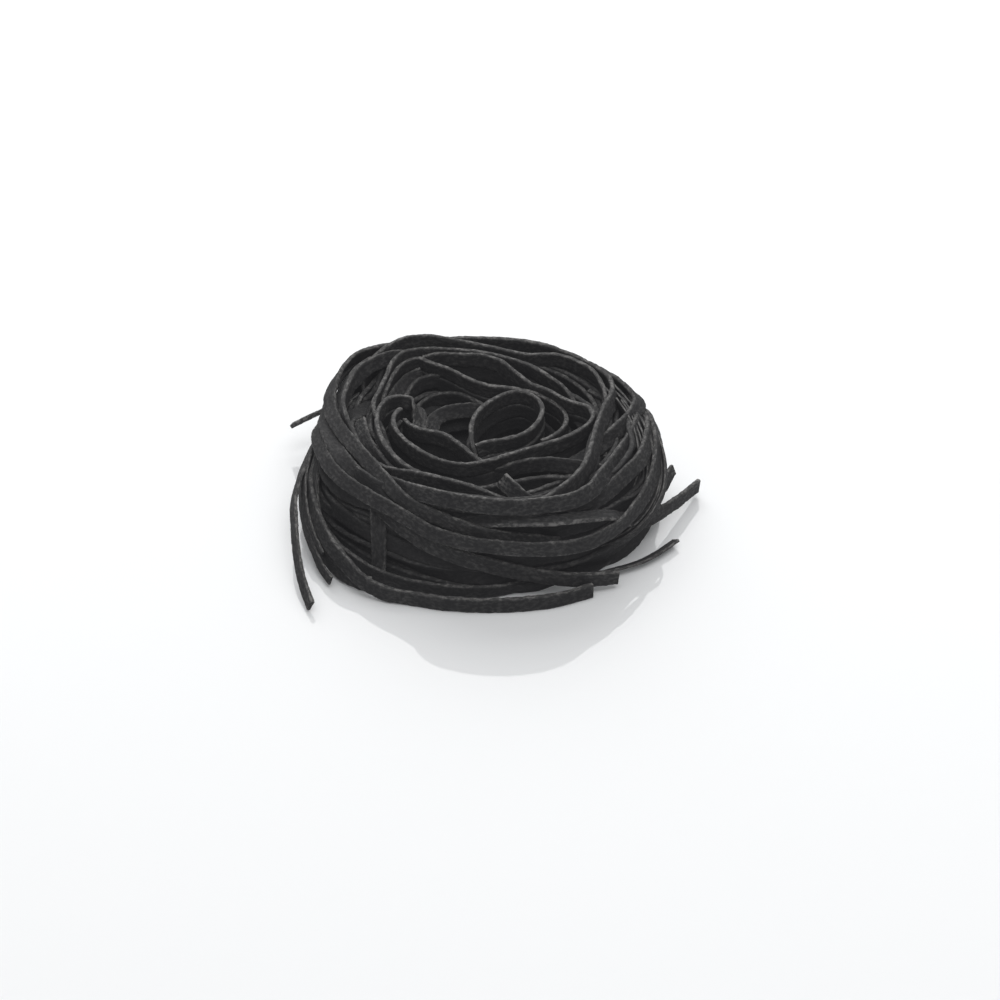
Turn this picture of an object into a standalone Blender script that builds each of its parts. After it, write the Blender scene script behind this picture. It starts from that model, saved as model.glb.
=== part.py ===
"""Dry pasta nest: one bundle of flat black ribbons, coiled into a squat ring with a crater.

The bundle is one closed solid.  A turned core fills the inside, and the ribbons that shape the
outline lie half sunk in it: the windings round the side, the rim, the loops in the crater and
the loose ends.  Lengths are in millimetres until the last step, which writes metres.
The origin is on the floor under the middle of the nest, with +Z up.
"""
import itertools
import math

import bpy
import bmesh
import numpy as np
from mathutils import Matrix

NAME = "pasta_nest"

# One ribbon
RIBBON_WIDTH = 3.2
RIBBON_THICKNESS = 0.9
WALL_DEPTH = 9.3            # three ribbons, one above the other, in the crater's loops
FLOOR_GAP = 0.06            # the lowest ribbons end this far above the core's flat base
STEP = 6.0                  # distance between the sections of a sweep
WELD = 0.01                 # points closer than this become one

# The nest without its loose ends
SIDE_RADIUS = 37.2          # at the widest part, low on the side
RIM_RADIUS = 27.5           # where the shoulder turns into the crater
WIDEST_HEIGHT = 5.5
RIM_HEIGHT = 22.0
SHOULDER_POWER = 1.6
OVAL = 1.0                  # the plan is longer this much along OVAL_BEARING
OVAL_BEARING = 145.0
LOPSIDED = 0.7              # and it reaches out this much more at LOPSIDED_BEARING
LOPSIDED_BEARING = -20.0
RIM_RISE = 0.9              # the rim is higher this much at RIM_RISE_BEARING
RIM_RISE_BEARING = 125.0

# The core under the ribbons
CORE_INSET = 1.7
CORE_RIM_DROP = 3.6         # the rim's ribbons stand this far above the core
FLOOR_RADIUS = 35.0
CRATER_FLOOR = 9.0
CRATER_RADIUS = 15.0
CORE_BEARINGS = 40

# The windings that a rule gives: turns on the side, from the floor upwards
WINDING_COUNT = 6
WINDING_START = 1.7
WINDING_RISE = 2.7
WINDING_TILT = 1.3
WINDING_WANDER = 0.5
GOLDEN_ANGLE = 137.5

# Each route below is a ribbon's middle line: (x, y, z, lean), with the lean of its width from
# the vertical in degrees, the upper edge towards the nest's axis.
RIM = {
    "back_rim": [(-29, 14, 15.5, 30), (-24.5, 24.5, 16.5, 15), (-17, 31, 17.5, 5),
                 (-6.5, 31.5, 19.6, 5), (3.5, 30.5, 20.2, 5), (12, 28.7, 20, 5),
                 (20, 24, 19.4, 5), (26, 17, 19.2, 5), (27, 11, 19.2, 10), (25, 3, 19.4, 22),
                 (22.7, -8, 19.4, 25), (21.4, -14.5, 19.4, 18), (18.8, -21, 19.3, 12),
                 (13, -27.5, 18.4, 10), (6, -29, 16, 10), (-3, -27.5, 14, 10)],
    "back_wall": [(-23.5, 3, 14.6, 35), (-25.2, 9, 16.2, 30), (-25.2, 15, 18, 15),
                  (-22.5, 22.7, 20, 5), (-17.5, 27.5, 21.6, 0), (-12, 29, 21.8, 0),
                  (-6, 28.2, 21.2, 0), (2, 27.6, 19.8, 0), (9, 25.6, 19.2, 0),
                  (16, 25.2, 19.3, 0), (22, 20.8, 19.2, 5), (24.5, 16, 19, 10),
                  (25.8, 10.5, 18.2, 10), (26.5, 4, 16.4, 10), (25, -6, 14, 10)],
    "left_rim": [(-9, 28, 17.5, 0), (-14, 27, 19, -15), (-19, 24.3, 20.4, -32),
                 (-23, 21, 20.5, -35), (-25.6, 17.3, 20.2, -28), (-27.6, 11.5, 19.8, -8),
                 (-28.3, 5, 19.2, 5), (-27.2, -2, 18.9, 15), (-24, -9, 19.2, 10), (-20.5, -15, 19.2, 10),
                 (-17, -19, 19.2, 10), (-12, -21, 19, 10), (-6, -23, 18.6, 10),
                 (0, -25, 17.6, 10), (6, -26.3, 15.5, 10), (13, -26, 13.5, 10)],
    "inner_back": [(-18, -4, 13.5, 0), (-20, 1, 15.6, 0), (-21.5, 5, 17.4, 0),
                   (-22, 8.5, 18, 0), (-21, 13, 18.6, 0), (-19.8, 18, 19, 0),
                   (-18.6, 22.2, 19.6, 0), (-16.4, 25, 20.2, 0), (-12, 26, 20.4, 0),
                   (-4.5, 25.8, 20.2, 0), (2, 24.4, 20, 0), (9, 21.5, 19.4, 0),
                   (13.3, 18.6, 18.4, 0), (16.8, 16.1, 16.9, 0), (19, 13, 15, 0),
                   (20, 8, 13.4, 0), (20, 2, 12.5, 0)],
    "front_rim": [(10, 32.5, 15, 20), (18, 29.5, 15.5, 25), (25, 24.5, 16, 30),
                  (30, 18.5, 16.3, 30), (32.3, 12, 16.3, 32), (32, 5.5, 16.6, 36),
                  (30.1, -2.9, 17.1, 42), (28, -8.7, 17.5, 42), (26, -13.6, 17.8, 40),
                  (23.8, -18.5, 18, 34), (21.2, -23.8, 18.4, 24), (17.4, -27.7, 18.9, 18),
                  (11, -30.3, 19.4, 15),
                  (4, -31, 19.6, 15), (-3, -29.8, 19.8, 15), (-10, -27, 19.6, 17),
                  (-16.5, -23.5, 18.6, 22), (-22.5, -16.5, 16.8, 32), (-27.5, -7, 15.4, 42)],
    "back_shoulder": [(-2, 32, 15.5, 10), (-10, 31.7, 16.4, 10), (-18, 29.2, 17.2, 15),
                      (-24, 25, 17.8, 25), (-27.3, 19.5, 17.8, 35), (-28.6, 12.5, 17, 42),
                      (-28.8, 5, 15.8, 42), (-27.5, -3, 14, 40)],
    "right_shoulder": [(12, 30.5, 17.2, 10), (19.5, 26, 18, 10), (25.5, 21, 18, 15),
                       (29.8, 16.5, 17.5, 22), (32.2, 11.5, 17.3, 30), (30.8, 5.6, 17.5, 38),
                       (28.3, 0.8, 17.7, 38), (25.6, -2.8, 17.5, 25), (22.6, -5.8, 16.6, 10),
                       (18.5, -9, 14.8, 0)],
    "outer_shoulder": [(27, 22.5, 14.6, 35), (31, 17, 14.8, 35), (33.6, 10.5, 15.1, 35),
                       (34.4, 4.5, 15.3, 35), (33.5, -2.2, 15.8, 35), (31.9, -8.6, 16.1, 35),
                       (29, -15, 16.3, 33), (25.1, -21.7, 16.3, 28), (20.6, -27.2, 16, 20),
                       (15.5, -29.6, 14.6, 15), (8, -30, 13, 12), (0, -29.5, 12, 10)],
}

CRATER = {
    "great_loop": [(-12.2, 24.5, 19, 0), (-9, 24.6, 19.8, 0), (-4.5, 24, 20, 0),
                   (-0.5, 24, 19.9, 0), (3.3, 22.5, 19.6, 0), (6.8, 19.3, 18.6, 0),
                   (10, 15, 18.3, 0), (14, 12.3, 18.1, 0), (18, 8.2, 18.2, 0),
                   (21.5, 5.7, 18.4, 0), (22.6, 2.3, 18.4, 0), (21, -1.6, 18.3, 0),
                   (17.3, -5, 18, 0), (11.5, -8, 17.7, 0), (5.5, -11, 17.5, 0),
                   (0, -13.7, 17.4, 0), (-4, -14.4, 17.4, 0), (-8, -13.2, 17.5, 0),
                   (-12, -10.3, 17.7, 0), (-15.5, -6, 17.9, 0), (-17.6, -1.5, 18, 0),
                   (-18.2, 2.5, 17.9, 0), (-17.4, 6, 17.6, 0), (-16, 8.4, 17, 0)],
    "s_loop": [(-19.4, 10.5, 15.8, 0), (-18.9, 15, 17.4, 0), (-17.9, 19.8, 18.4, 0),
               (-16, 22.6, 18.9, 0), (-13.3, 23.4, 19, 0), (-10.5, 22.6, 18.8, 0),
               (-7, 20.7, 18.6, 0), (-2.5, 17.2, 18.1, 0), (1, 15.3, 17.8, 0),
               (6, 14.4, 17.6, 0), (10.3, 13.4, 17.2, 0), (13.6, 11.6, 16.6, 0),
               (16.3, 9, 16.1, 0), (17.3, 5.8, 15.8, 0), (16.6, 2.3, 15.6, 0),
               (14.5, -0.5, 15.4, 0), (12, -2.2, 15.2, 0)],
    "ring": [(1.8, -7.8, 15.8, 0), (-0.2, -6.2, 16.2, 0), (-1.7, -3.2, 16.5, 0),
             (-2, 1, 16.8, 0), (-1, 5.5, 17, 0), (1.5, 9.5, 17.2, 0), (4.5, 12, 17.5, 0),
             (7.3, 13, 17.6, 0), (9.8, 12.2, 17.5, 0), (11.8, 9.6, 17.4, 0),
             (12.3, 6, 17.2, 0), (11, 1.5, 17, 0), (8.3, -2.3, 16.9, 0),
             (4.5, -4.4, 16.9, 0), (1.2, -5.3, 16.9, 0)],
    "curl": [(-12.6, 3.5, 14.8, 0), (-12.4, 7, 15.9, 0), (-14, 10, 17, 0),
             (-16.8, 11, 17.8, 0), (-19.4, 9.2, 18.1, 0), (-21, 5, 18.3, 0),
             (-21.2, 0, 18.3, 0), (-20, -6, 18.3, 0), (-17.5, -11.8, 18.2, 0),
             (-14.5, -15.8, 17.9, 0), (-10.5, -18.3, 17.2, 0), (-5, -20, 16, 0),
             (2, -20.5, 14.5, 0)],
    "cross_loop": [(-15.8, 5.5, 15.3, 0), (-14.4, 2.5, 15.8, 0), (-12, 0.2, 16.2, 0),
                   (-8, -1.4, 16.3, 0), (-4.6, -4.4, 15.8, 0), (-1.4, -8, 15, 0),
                   (1.5, -10.2, 14.2, 0)],
    "deep_loop": [(-10.3, 9, 15.2, 0), (-7, 11.3, 15, 0), (-3, 12.4, 14.6, 0),
                  (0.5, 12.6, 14.2, 0)],
}

SIDE = {
    "long_band": [(-13, 30, 19.4, 5), (-19, 28.8, 19.8, 5), (-23.5, 27.5, 19.8, 8),
                  (-27, 25.1, 19.6, 15), (-29.7, 20.5, 19.1, 30), (-31.2, 14, 18.5, 50),
                  (-31.2, 9.5, 18.1, 60), (-30.2, 4.5, 17.8, 60), (-27.8, -1.5, 17.6, 55),
                  (-22.5, -11.8, 17.6, 45), (-17, -21.5, 17, 30), (-13.3, -25.8, 16.4, 22),
                  (-8, -29, 15.6, 20), (-3, -30.5, 14.4, 18), (2, -31.4, 13.4, 16),
                  (8, -31.2, 12, 14), (15, -29.5, 10, 10)],
    "front_band": [(-27, 19.5, 12.5, 45), (-31.3, 12.5, 13.5, 50), (-33.2, 6, 14.4, 56),
                   (-33.2, 1, 14.9, 58), (-32, -4.5, 15, 55), (-30, -10, 15, 50),
                   (-26.5, -15.5, 15, 42), (-22, -20.5, 15, 35), (-18, -24, 14.8, 30),
                   (-14, -27.5, 14.3, 25), (-9, -31, 13.4, 20), (-3, -33, 12.7, 17),
                   (4, -34, 12.2, 15), (12, -34, 11.8, 14), (19, -32, 11.4, 14),
                   (25, -27.5, 11.4, 17), (30.6, -20, 12.2, 22), (34, -12, 13.2, 28),
                   (35.6, -4, 14.2, 34), (35.5, 3.5, 14.8, 40), (34.2, 10.5, 14.6, 42),
                   (30, 19, 14.3, 40), (23, 26.5, 14, 35)],
    "second_band": [(-8, -27, 15, 15), (0, -29.6, 15.5, 30), (7.5, -30.6, 15.5, 50),
                    (14, -29.6, 15, 65), (20.5, -27, 13.8, 74), (25.4, -24, 12.1, 74),
                    (29, -20.4, 9.4, 50), (32.7, -16, 6.5, 12), (37, -9.8, 4.8, 0),
                    (41, -3.3, 3.4, -5), (44.5, 3, 2.3, -5)],
    "under_band": [(-32.5, -4, 11, 48), (-29.5, -9.5, 11, 40), (-23.3, -17.8, 11, 30),
                   (-17, -24, 10.6, 22), (-10, -29, 9.6, 16), (-4.5, -32, 8.5, 12),
                   (1, -33.6, 7.2, 8), (7, -34.3, 5.6, 5), (13, -34.3, 4.2, 0)],
    "flared_end": [(-5, -30.5, 10.4, 15), (3, -31.6, 9.2, 12), (9.2, -31.8, 7.3, 8),
                   (15.2, -32, 5.3, 4), (21, -31.4, 3.6, 0), (26.8, -30, 2.5, 0)],
    "left_drop": [(-29, 14, 10.5, 40), (-32.5, 8, 10.6, 40), (-34.3, 2, 10.6, 38),
                  (-35, -4, 10, 35), (-34.7, -9.5, 9, 32), (-33, -16.5, 7.8, 28),
                  (-30.2, -23.3, 6.3, 20), (-27, -28, 5, 12), (-23.5, -31, 3.6, 6),
                  (-19, -33, 2.5, 0), (-13, -35, 1.9, 0), (-6, -36.3, 1.7, 0),
                  (2, -36.6, 1.7, 0)],
    "floor_band": [(-33, 10, 8, 30), (-35.5, 4, 7.8, 30), (-36.3, -3, 7, 28),
                   (-35.5, -9, 5.6, 25), (-34, -15.5, 4.2, 20), (-31, -22.5, 3, 12),
                   (-27.5, -28, 2.1, 5), (-23.5, -31.7, 1.7, 0), (-18.5, -34, 1.6, 0),
                   (-13, -36, 1.6, 0), (-7, -37.6, 1.6, 0), (0, -38.2, 1.6, 0),
                   (8, -37.8, 1.6, 0), (15, -36.3, 1.6, 0), (21.7, -33.2, 1.6, 0)],
}

LOOSE_ENDS = {
    "long_drop": [(-28.5, 14, 12.6, 40), (-32.5, 7, 12.4, 36), (-35, 0, 11.8, 32),
                  (-36.6, -6, 10.4, 28), (-37.6, -11.5, 8.2, 26), (-37.2, -18, 6.2, 25),
                  (-36.3, -25, 4.3, 25), (-34.8, -32, 2.5, 25), (-32.9, -38.3, 1.5, 25)],
    "short_drop": [(-34.4, 4, 9.8, 35), (-36, -3, 8.8, 30), (-36.3, -9.5, 7.1, 26),
                   (-35, -16.5, 4.8, 24), (-33.3, -21.5, 3.2, 22), (-31.4, -26.3, 2, 22),
                   (-29.5, -30, 1.6, 20)],
    "back_end": [(-16, 32, 10.5, 10), (-22, 30.5, 9.5, 30), (-28, 27.8, 8.4, 40),
                 (-34, 24.5, 7.2, 45), (-40.3, 20.5, 6, 45)],
    "low_right_end": [(15.5, -30, 2.2, -20), (21.5, -28, 1.8, -45), (26.5, -25.8, 1.4, -62),
                      (31.5, -23, 1.2, -65), (35.5, -19.5, 1.2, -65), (39, -15.5, 1.2, -65)],
    "raised_tip": [(4, -22.3, 20.2, 35), (6, -24.3, 19.3, 35), (8.5, -26, 17.8, 32),
                   (12, -26.8, 16, 28)],
    "side_tip": [(38, -0.8, 8, 0), (36, -3.5, 8, 0), (33, -7, 8.2, 0)],
}


def plan_radius(bearing):
    """How much wider than a circle the nest is at a bearing, in degrees."""
    oval = OVAL * math.cos(math.radians(2 * (bearing - OVAL_BEARING)))
    return oval + LOPSIDED * math.cos(math.radians(bearing - LOPSIDED_BEARING))


def rim_rise(bearing):
    """How much the rim rises above RIM_HEIGHT at a bearing."""
    return RIM_RISE * math.cos(math.radians(bearing - RIM_RISE_BEARING))


def side_radius(height, bearing):
    """Radius of the nest's side at a height, from the floor up to the rim."""
    top = RIM_HEIGHT + rim_rise(bearing)
    if height < WIDEST_HEIGHT:
        drop = (WIDEST_HEIGHT - height) / WIDEST_HEIGHT
        return SIDE_RADIUS - 1.6 * drop ** 2 + plan_radius(bearing)
    share = min(1.0, (height - WIDEST_HEIGHT) / (top - WIDEST_HEIGHT))
    bulge = math.sqrt(max(0.0, 1.0 - share ** SHOULDER_POWER))
    return RIM_RADIUS + (SIDE_RADIUS - RIM_RADIUS) * bulge + plan_radius(bearing)


def side_lean(height):
    """Lean of a ribbon that lies against the side at a height, in degrees."""
    share = max(0.0, (height - WIDEST_HEIGHT) / (RIM_HEIGHT - WIDEST_HEIGHT))
    return 40.0 * share


def winding(index):
    """One turn round the side: a tilted, slightly wandering ring, a little short of closed."""
    phase = GOLDEN_ANGLE * index
    height = WINDING_START + WINDING_RISE * index
    knots = []
    for step in range(25):
        bearing = phase + 14.5 * step
        turn = math.radians(bearing)
        tilt = WINDING_TILT * math.sin(turn + index)
        wander = WINDING_WANDER * math.sin(3 * turn + 2 * index)
        z = max(RIBBON_WIDTH / 2, height + tilt + wander)
        radius = side_radius(z, bearing) - 1.0 + 0.4 * math.sin(2 * turn + 3 * index)
        knots.append((radius * math.cos(turn), radius * math.sin(turn), z, side_lean(z)))
    return knots


def smooth_route(knots, step=STEP):
    """Points about a step apart on the curve that runs through all the knots."""
    points = np.array(knots, dtype=float)
    count = len(points)
    gaps = np.linalg.norm(np.diff(points[:, :3], axis=0), axis=1)
    along = np.concatenate([[0.0], np.cumsum(gaps)])
    slopes = np.zeros_like(points)
    for i in range(count):
        low, high = max(0, i - 1), min(count - 1, i + 1)
        slopes[i] = (points[high] - points[low]) / (along[high] - along[low])
    samples = np.linspace(0.0, along[-1], max(3, round(along[-1] / step) + 1))
    route = []
    for s in samples:
        i = int(min(count - 2, np.searchsorted(along, s, side="right") - 1))
        length = along[i + 1] - along[i]
        t = (s - along[i]) / length
        route.append((2 * t ** 3 - 3 * t ** 2 + 1) * points[i]
                     + (t ** 3 - 2 * t ** 2 + t) * length * slopes[i]
                     + (3 * t ** 2 - 2 * t ** 3) * points[i + 1]
                     + (t ** 3 - t ** 2) * length * slopes[i + 1])
    return np.array(route)


def ribbon_profile(depth):
    """The ribbon's cross-section, a closed rectangle that sweeps share."""
    curve = bpy.data.curves.new("ribbon_profile", "CURVE")
    curve.dimensions = "2D"
    outline = curve.splines.new("POLY")
    outline.points.add(3)
    half_thick, half_wide = RIBBON_THICKNESS / 2, depth / 2
    corners = [(-half_thick, -half_wide), (half_thick, -half_wide),
               (half_thick, half_wide), (-half_thick, half_wide)]
    for point, (x, y) in zip(outline.points, corners):
        point.co = (x, y, 0, 1)
    outline.use_cyclic_u = True
    profile = bpy.data.objects.new("ribbon_profile", curve)
    guides.objects.link(profile)
    profile.hide_render = True
    return profile


def ribbon(name, knots, profile, drop=0.0):
    """A ribbon swept along its knots, as a closed mesh object that the join can use."""
    route = smooth_route(knots)
    curve = bpy.data.curves.new(name, "CURVE")
    curve.dimensions = "3D"
    curve.twist_mode = "Z_UP"
    curve.bevel_mode = "OBJECT"
    curve.bevel_object = profile
    curve.use_fill_caps = True
    spline = curve.splines.new("POLY")
    spline.points.add(len(route) - 1)
    for i, (point, (x, y, z, lean)) in enumerate(zip(spline.points, route)):
        tilt = math.radians(lean)
        half_height = (RIBBON_WIDTH * math.cos(tilt)
                       + RIBBON_THICKNESS * abs(math.sin(tilt))) / 2
        z = max(z, half_height + FLOOR_GAP)
        ahead = route[min(i + 1, len(route) - 1)] - route[max(i - 1, 0)]
        # the lean is towards the axis, which lies left of a ribbon that runs anticlockwise
        side = 1.0 if x * ahead[1] - y * ahead[0] > 0 else -1.0
        point.co = (x, y, z - drop, 1)
        point.tilt = -side * tilt
    swept = bpy.data.objects.new(name + "_curve", curve)
    guides.objects.link(swept)
    bpy.context.view_layer.update()
    mesh = bpy.data.meshes.new_from_object(
        swept.evaluated_get(bpy.context.evaluated_depsgraph_get()))
    work = bmesh.new()
    work.from_mesh(mesh)
    bmesh.ops.remove_doubles(work, verts=work.verts, dist=WELD)
    bmesh.ops.recalc_face_normals(work, faces=work.faces)
    work.to_mesh(mesh)
    work.free()
    bpy.data.objects.remove(swept)
    piece = bpy.data.objects.new(name, mesh)
    guides.objects.link(piece)
    piece.hide_render = True
    piece.display_type = "WIRE"
    return piece


def core_solid():
    """The turned body under the ribbons, pushed out of round by the plan and the rim."""
    heights = np.linspace(RIM_HEIGHT - CORE_RIM_DROP, WIDEST_HEIGHT, 5)
    outline = [(0.0, CRATER_FLOOR), (CRATER_RADIUS, CRATER_FLOOR + 0.6),
               (RIM_RADIUS - 4.5, RIM_HEIGHT - CORE_RIM_DROP - 3.0),
               (RIM_RADIUS - 1.5, RIM_HEIGHT - CORE_RIM_DROP)]
    outline += [(side_radius(z, OVAL_BEARING + 45) - CORE_INSET, z) for z in heights]
    outline += [(SIDE_RADIUS - CORE_INSET - 0.4, 2.2), (FLOOR_RADIUS, 0.0), (0.0, 0.0)]
    mesh = bpy.data.meshes.new("core")
    points = [(radius, 0.0, z) for radius, z in outline]
    mesh.from_pydata(points, [(i, i + 1) for i in range(len(points) - 1)], [])
    profile = bpy.data.objects.new("core_profile", mesh)
    guides.objects.link(profile)
    screw = profile.modifiers.new("turn", "SCREW")
    screw.steps = CORE_BEARINGS
    screw.render_steps = CORE_BEARINGS
    screw.use_merge_vertices = True
    screw.merge_threshold = 0.0001
    bpy.context.view_layer.update()
    turned = bpy.data.meshes.new_from_object(
        profile.evaluated_get(bpy.context.evaluated_depsgraph_get()))
    bpy.data.objects.remove(profile)
    for vertex in turned.vertices:
        radius = math.hypot(vertex.co.x, vertex.co.y)
        if radius > 0.01:
            bearing = math.degrees(math.atan2(vertex.co.y, vertex.co.x))
            grow = 1.0 + plan_radius(bearing) / SIDE_RADIUS
            vertex.co.x *= grow
            vertex.co.y *= grow
            vertex.co.z *= 1.0 + rim_rise(bearing) / RIM_HEIGHT
    core = bpy.data.objects.new("core", turned)
    guides.objects.link(core)
    core.hide_render = True
    return core


def turn_shared_diagonals(work):
    """Two faces that meet at both ends of one diagonal are never both cut along it.

    Where both were, the flatter pair of triangles is cut the other way.
    """
    for edge in [edge for edge in work.edges if len(edge.link_faces) > 2]:
        pairs = itertools.combinations(edge.link_faces, 2)
        first, second = max(pairs, key=lambda pair: pair[0].normal.dot(pair[1].normal))
        start, end = edge.verts
        tip = next(vertex for vertex in first.verts if vertex not in edge.verts)
        far_tip = next(vertex for vertex in second.verts if vertex not in edge.verts)
        order = [vertex.index for vertex in first.verts]
        if (order.index(end.index) - order.index(start.index)) % 3 != 1:
            start, end = end, start
        # the first triangle runs start, end, tip
        bmesh.ops.delete(work, geom=[first, second], context="FACES_ONLY")
        work.faces.new((tip, start, far_tip))
        work.faces.new((tip, far_tip, end))


def keep_outer_shell(mesh):
    """Drop the small shells that a union leaves round the hollows between crossing ribbons."""
    work = bmesh.new()
    work.from_mesh(mesh)
    bmesh.ops.remove_doubles(work, verts=work.verts, dist=WELD)
    bmesh.ops.triangulate(work, faces=work.faces)
    turn_shared_diagonals(work)
    left = set(work.verts)
    shells = []
    while left:
        seed = left.pop()
        shell, queue = [seed], [seed]
        while queue:
            for edge in queue.pop().link_edges:
                for other in edge.verts:
                    if other in left:
                        left.discard(other)
                        shell.append(other)
                        queue.append(other)
        shells.append(shell)
    shells.sort(key=len)
    inner = [vertex for shell in shells[:-1] for vertex in shell]
    bmesh.ops.delete(work, geom=inner, context="VERTS")
    work.to_mesh(mesh)
    work.free()
    return len(shells)


def black_pasta():
    """Matt, floury charcoal."""
    material = bpy.data.materials.new("black_pasta")
    material.use_nodes = True
    shader = material.node_tree.nodes["Principled BSDF"]
    shader.inputs["Base Color"].default_value = (0.036, 0.036, 0.038, 1)
    shader.inputs["Roughness"].default_value = 0.75
    shader.inputs["Metallic"].default_value = 0.0
    return material


def build_nest():
    """Join the core and every ribbon into one solid, then bring it to metres."""
    flat, deep = ribbon_profile(RIBBON_WIDTH), ribbon_profile(WALL_DEPTH)
    strips = bpy.data.collections.new("strips")
    guides.children.link(strips)
    pieces = []
    for routes in (RIM, SIDE, LOOSE_ENDS):
        pieces += [ribbon(name, knots, flat) for name, knots in routes.items()]
    for name, knots in CRATER.items():
        pieces.append(ribbon(name, knots, deep, (WALL_DEPTH - RIBBON_WIDTH) / 2))
    for index in range(WINDING_COUNT):
        pieces.append(ribbon(f"winding_{index}", winding(index), flat))
    for piece in pieces:
        strips.objects.link(piece)
    core = core_solid()
    join = core.modifiers.new("join", "BOOLEAN")
    join.operation = "UNION"
    join.operand_type = "COLLECTION"
    join.collection = strips
    join.solver = "MANIFOLD"
    bpy.context.view_layer.update()
    mesh = bpy.data.meshes.new_from_object(
        core.evaluated_get(bpy.context.evaluated_depsgraph_get()))
    core.modifiers.remove(join)
    shells = keep_outer_shell(mesh)
    mesh.transform(Matrix.Scale(0.001, 4))
    mesh.materials.clear()
    mesh.materials.append(black_pasta())
    mesh.name = NAME
    nest = bpy.data.objects.new(NAME, mesh)
    parts.objects.link(nest)
    print(f"{NAME}: {len(mesh.polygons)} triangles, {shells} shells before the inner ones went")
    return nest


for old in list(bpy.data.objects):
    bpy.data.objects.remove(old)
parts = bpy.data.collections.new(NAME)
guides = bpy.data.collections.new("guides")
for collection in (parts, guides):
    bpy.context.scene.collection.children.link(collection)

build_nest()
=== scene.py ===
# %% [markdown]
# # A nest of dry black pasta
# A nest is some seven metres of flat noodle, coiled while soft and left to dry.  Here every noodle
# is a real ribbon of mesh.  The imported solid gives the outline, and the ribbons replace it.

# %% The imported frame
import math
from functools import partial

import bpy
import numpy as np
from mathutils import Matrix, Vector


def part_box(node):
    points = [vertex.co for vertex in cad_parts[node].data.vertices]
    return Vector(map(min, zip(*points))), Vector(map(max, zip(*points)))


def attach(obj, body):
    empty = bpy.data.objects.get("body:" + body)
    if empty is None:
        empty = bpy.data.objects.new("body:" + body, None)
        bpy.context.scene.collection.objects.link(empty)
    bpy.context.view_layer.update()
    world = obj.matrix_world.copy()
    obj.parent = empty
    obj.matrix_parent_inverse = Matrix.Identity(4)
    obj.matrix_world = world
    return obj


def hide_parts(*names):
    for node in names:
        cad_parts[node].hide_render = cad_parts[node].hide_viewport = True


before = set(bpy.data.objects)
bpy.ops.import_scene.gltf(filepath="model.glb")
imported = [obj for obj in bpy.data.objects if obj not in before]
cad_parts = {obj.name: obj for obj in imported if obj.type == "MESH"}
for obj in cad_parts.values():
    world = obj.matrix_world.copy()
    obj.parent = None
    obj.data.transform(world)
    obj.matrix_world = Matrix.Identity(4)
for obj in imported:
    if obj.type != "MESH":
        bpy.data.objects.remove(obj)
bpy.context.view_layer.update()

scene = bpy.context.scene
nest_low, nest_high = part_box("pasta_nest")
MM = 0.001
print("frame:", [round(side / MM, 1) for side in nest_high - nest_low], "mm")

# %% [markdown]
# ## The view
# A long lens keeps the near and far sides in proportion.  It looks down on the crater, so that
# the loops inside and the bands outside both show.

# %% Camera
LOOK_DOWN = math.radians(33.5)
CAMERA_DISTANCE = 0.52
LENS = 90.8


def put(name, data):
    """A new object in the scene, with this data."""
    thing = bpy.data.objects.new(name, data)
    scene.collection.objects.link(thing)
    return thing


aim = Vector((3.7, 0.3, 0.5)) * MM
gaze = Vector((0.0, math.cos(LOOK_DOWN), -math.sin(LOOK_DOWN)))
camera_data = bpy.data.cameras.new("camera")
camera_data.lens = LENS
camera_data.sensor_width = 36.0
camera_data.clip_start = 0.01
camera = put("camera", camera_data)
camera.location = aim - gaze * CAMERA_DISTANCE
camera.rotation_euler = (math.pi / 2 - LOOK_DOWN, 0.0, 0.0)
scene.camera = camera
print("camera:", [round(c, 4) for c in camera.location])

# %% [markdown]
# ## The ribbons that give the nest its face
# A route could be drawn by eye in the viewport, but a short list of points is easier to repeat
# and to correct.  Each point is (x, y, z, lean) in millimetres and degrees: the ribbon's middle,
# and how far its width leans from upright, upper edge towards the nest's axis.  A point without
# a lean is upright.
#
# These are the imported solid's routes, with some ends drawn again.  A ridge on the solid can't slip
# under its neighbour or turn its face.  A ribbon can: it dives under, or shows its floury face.

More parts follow.
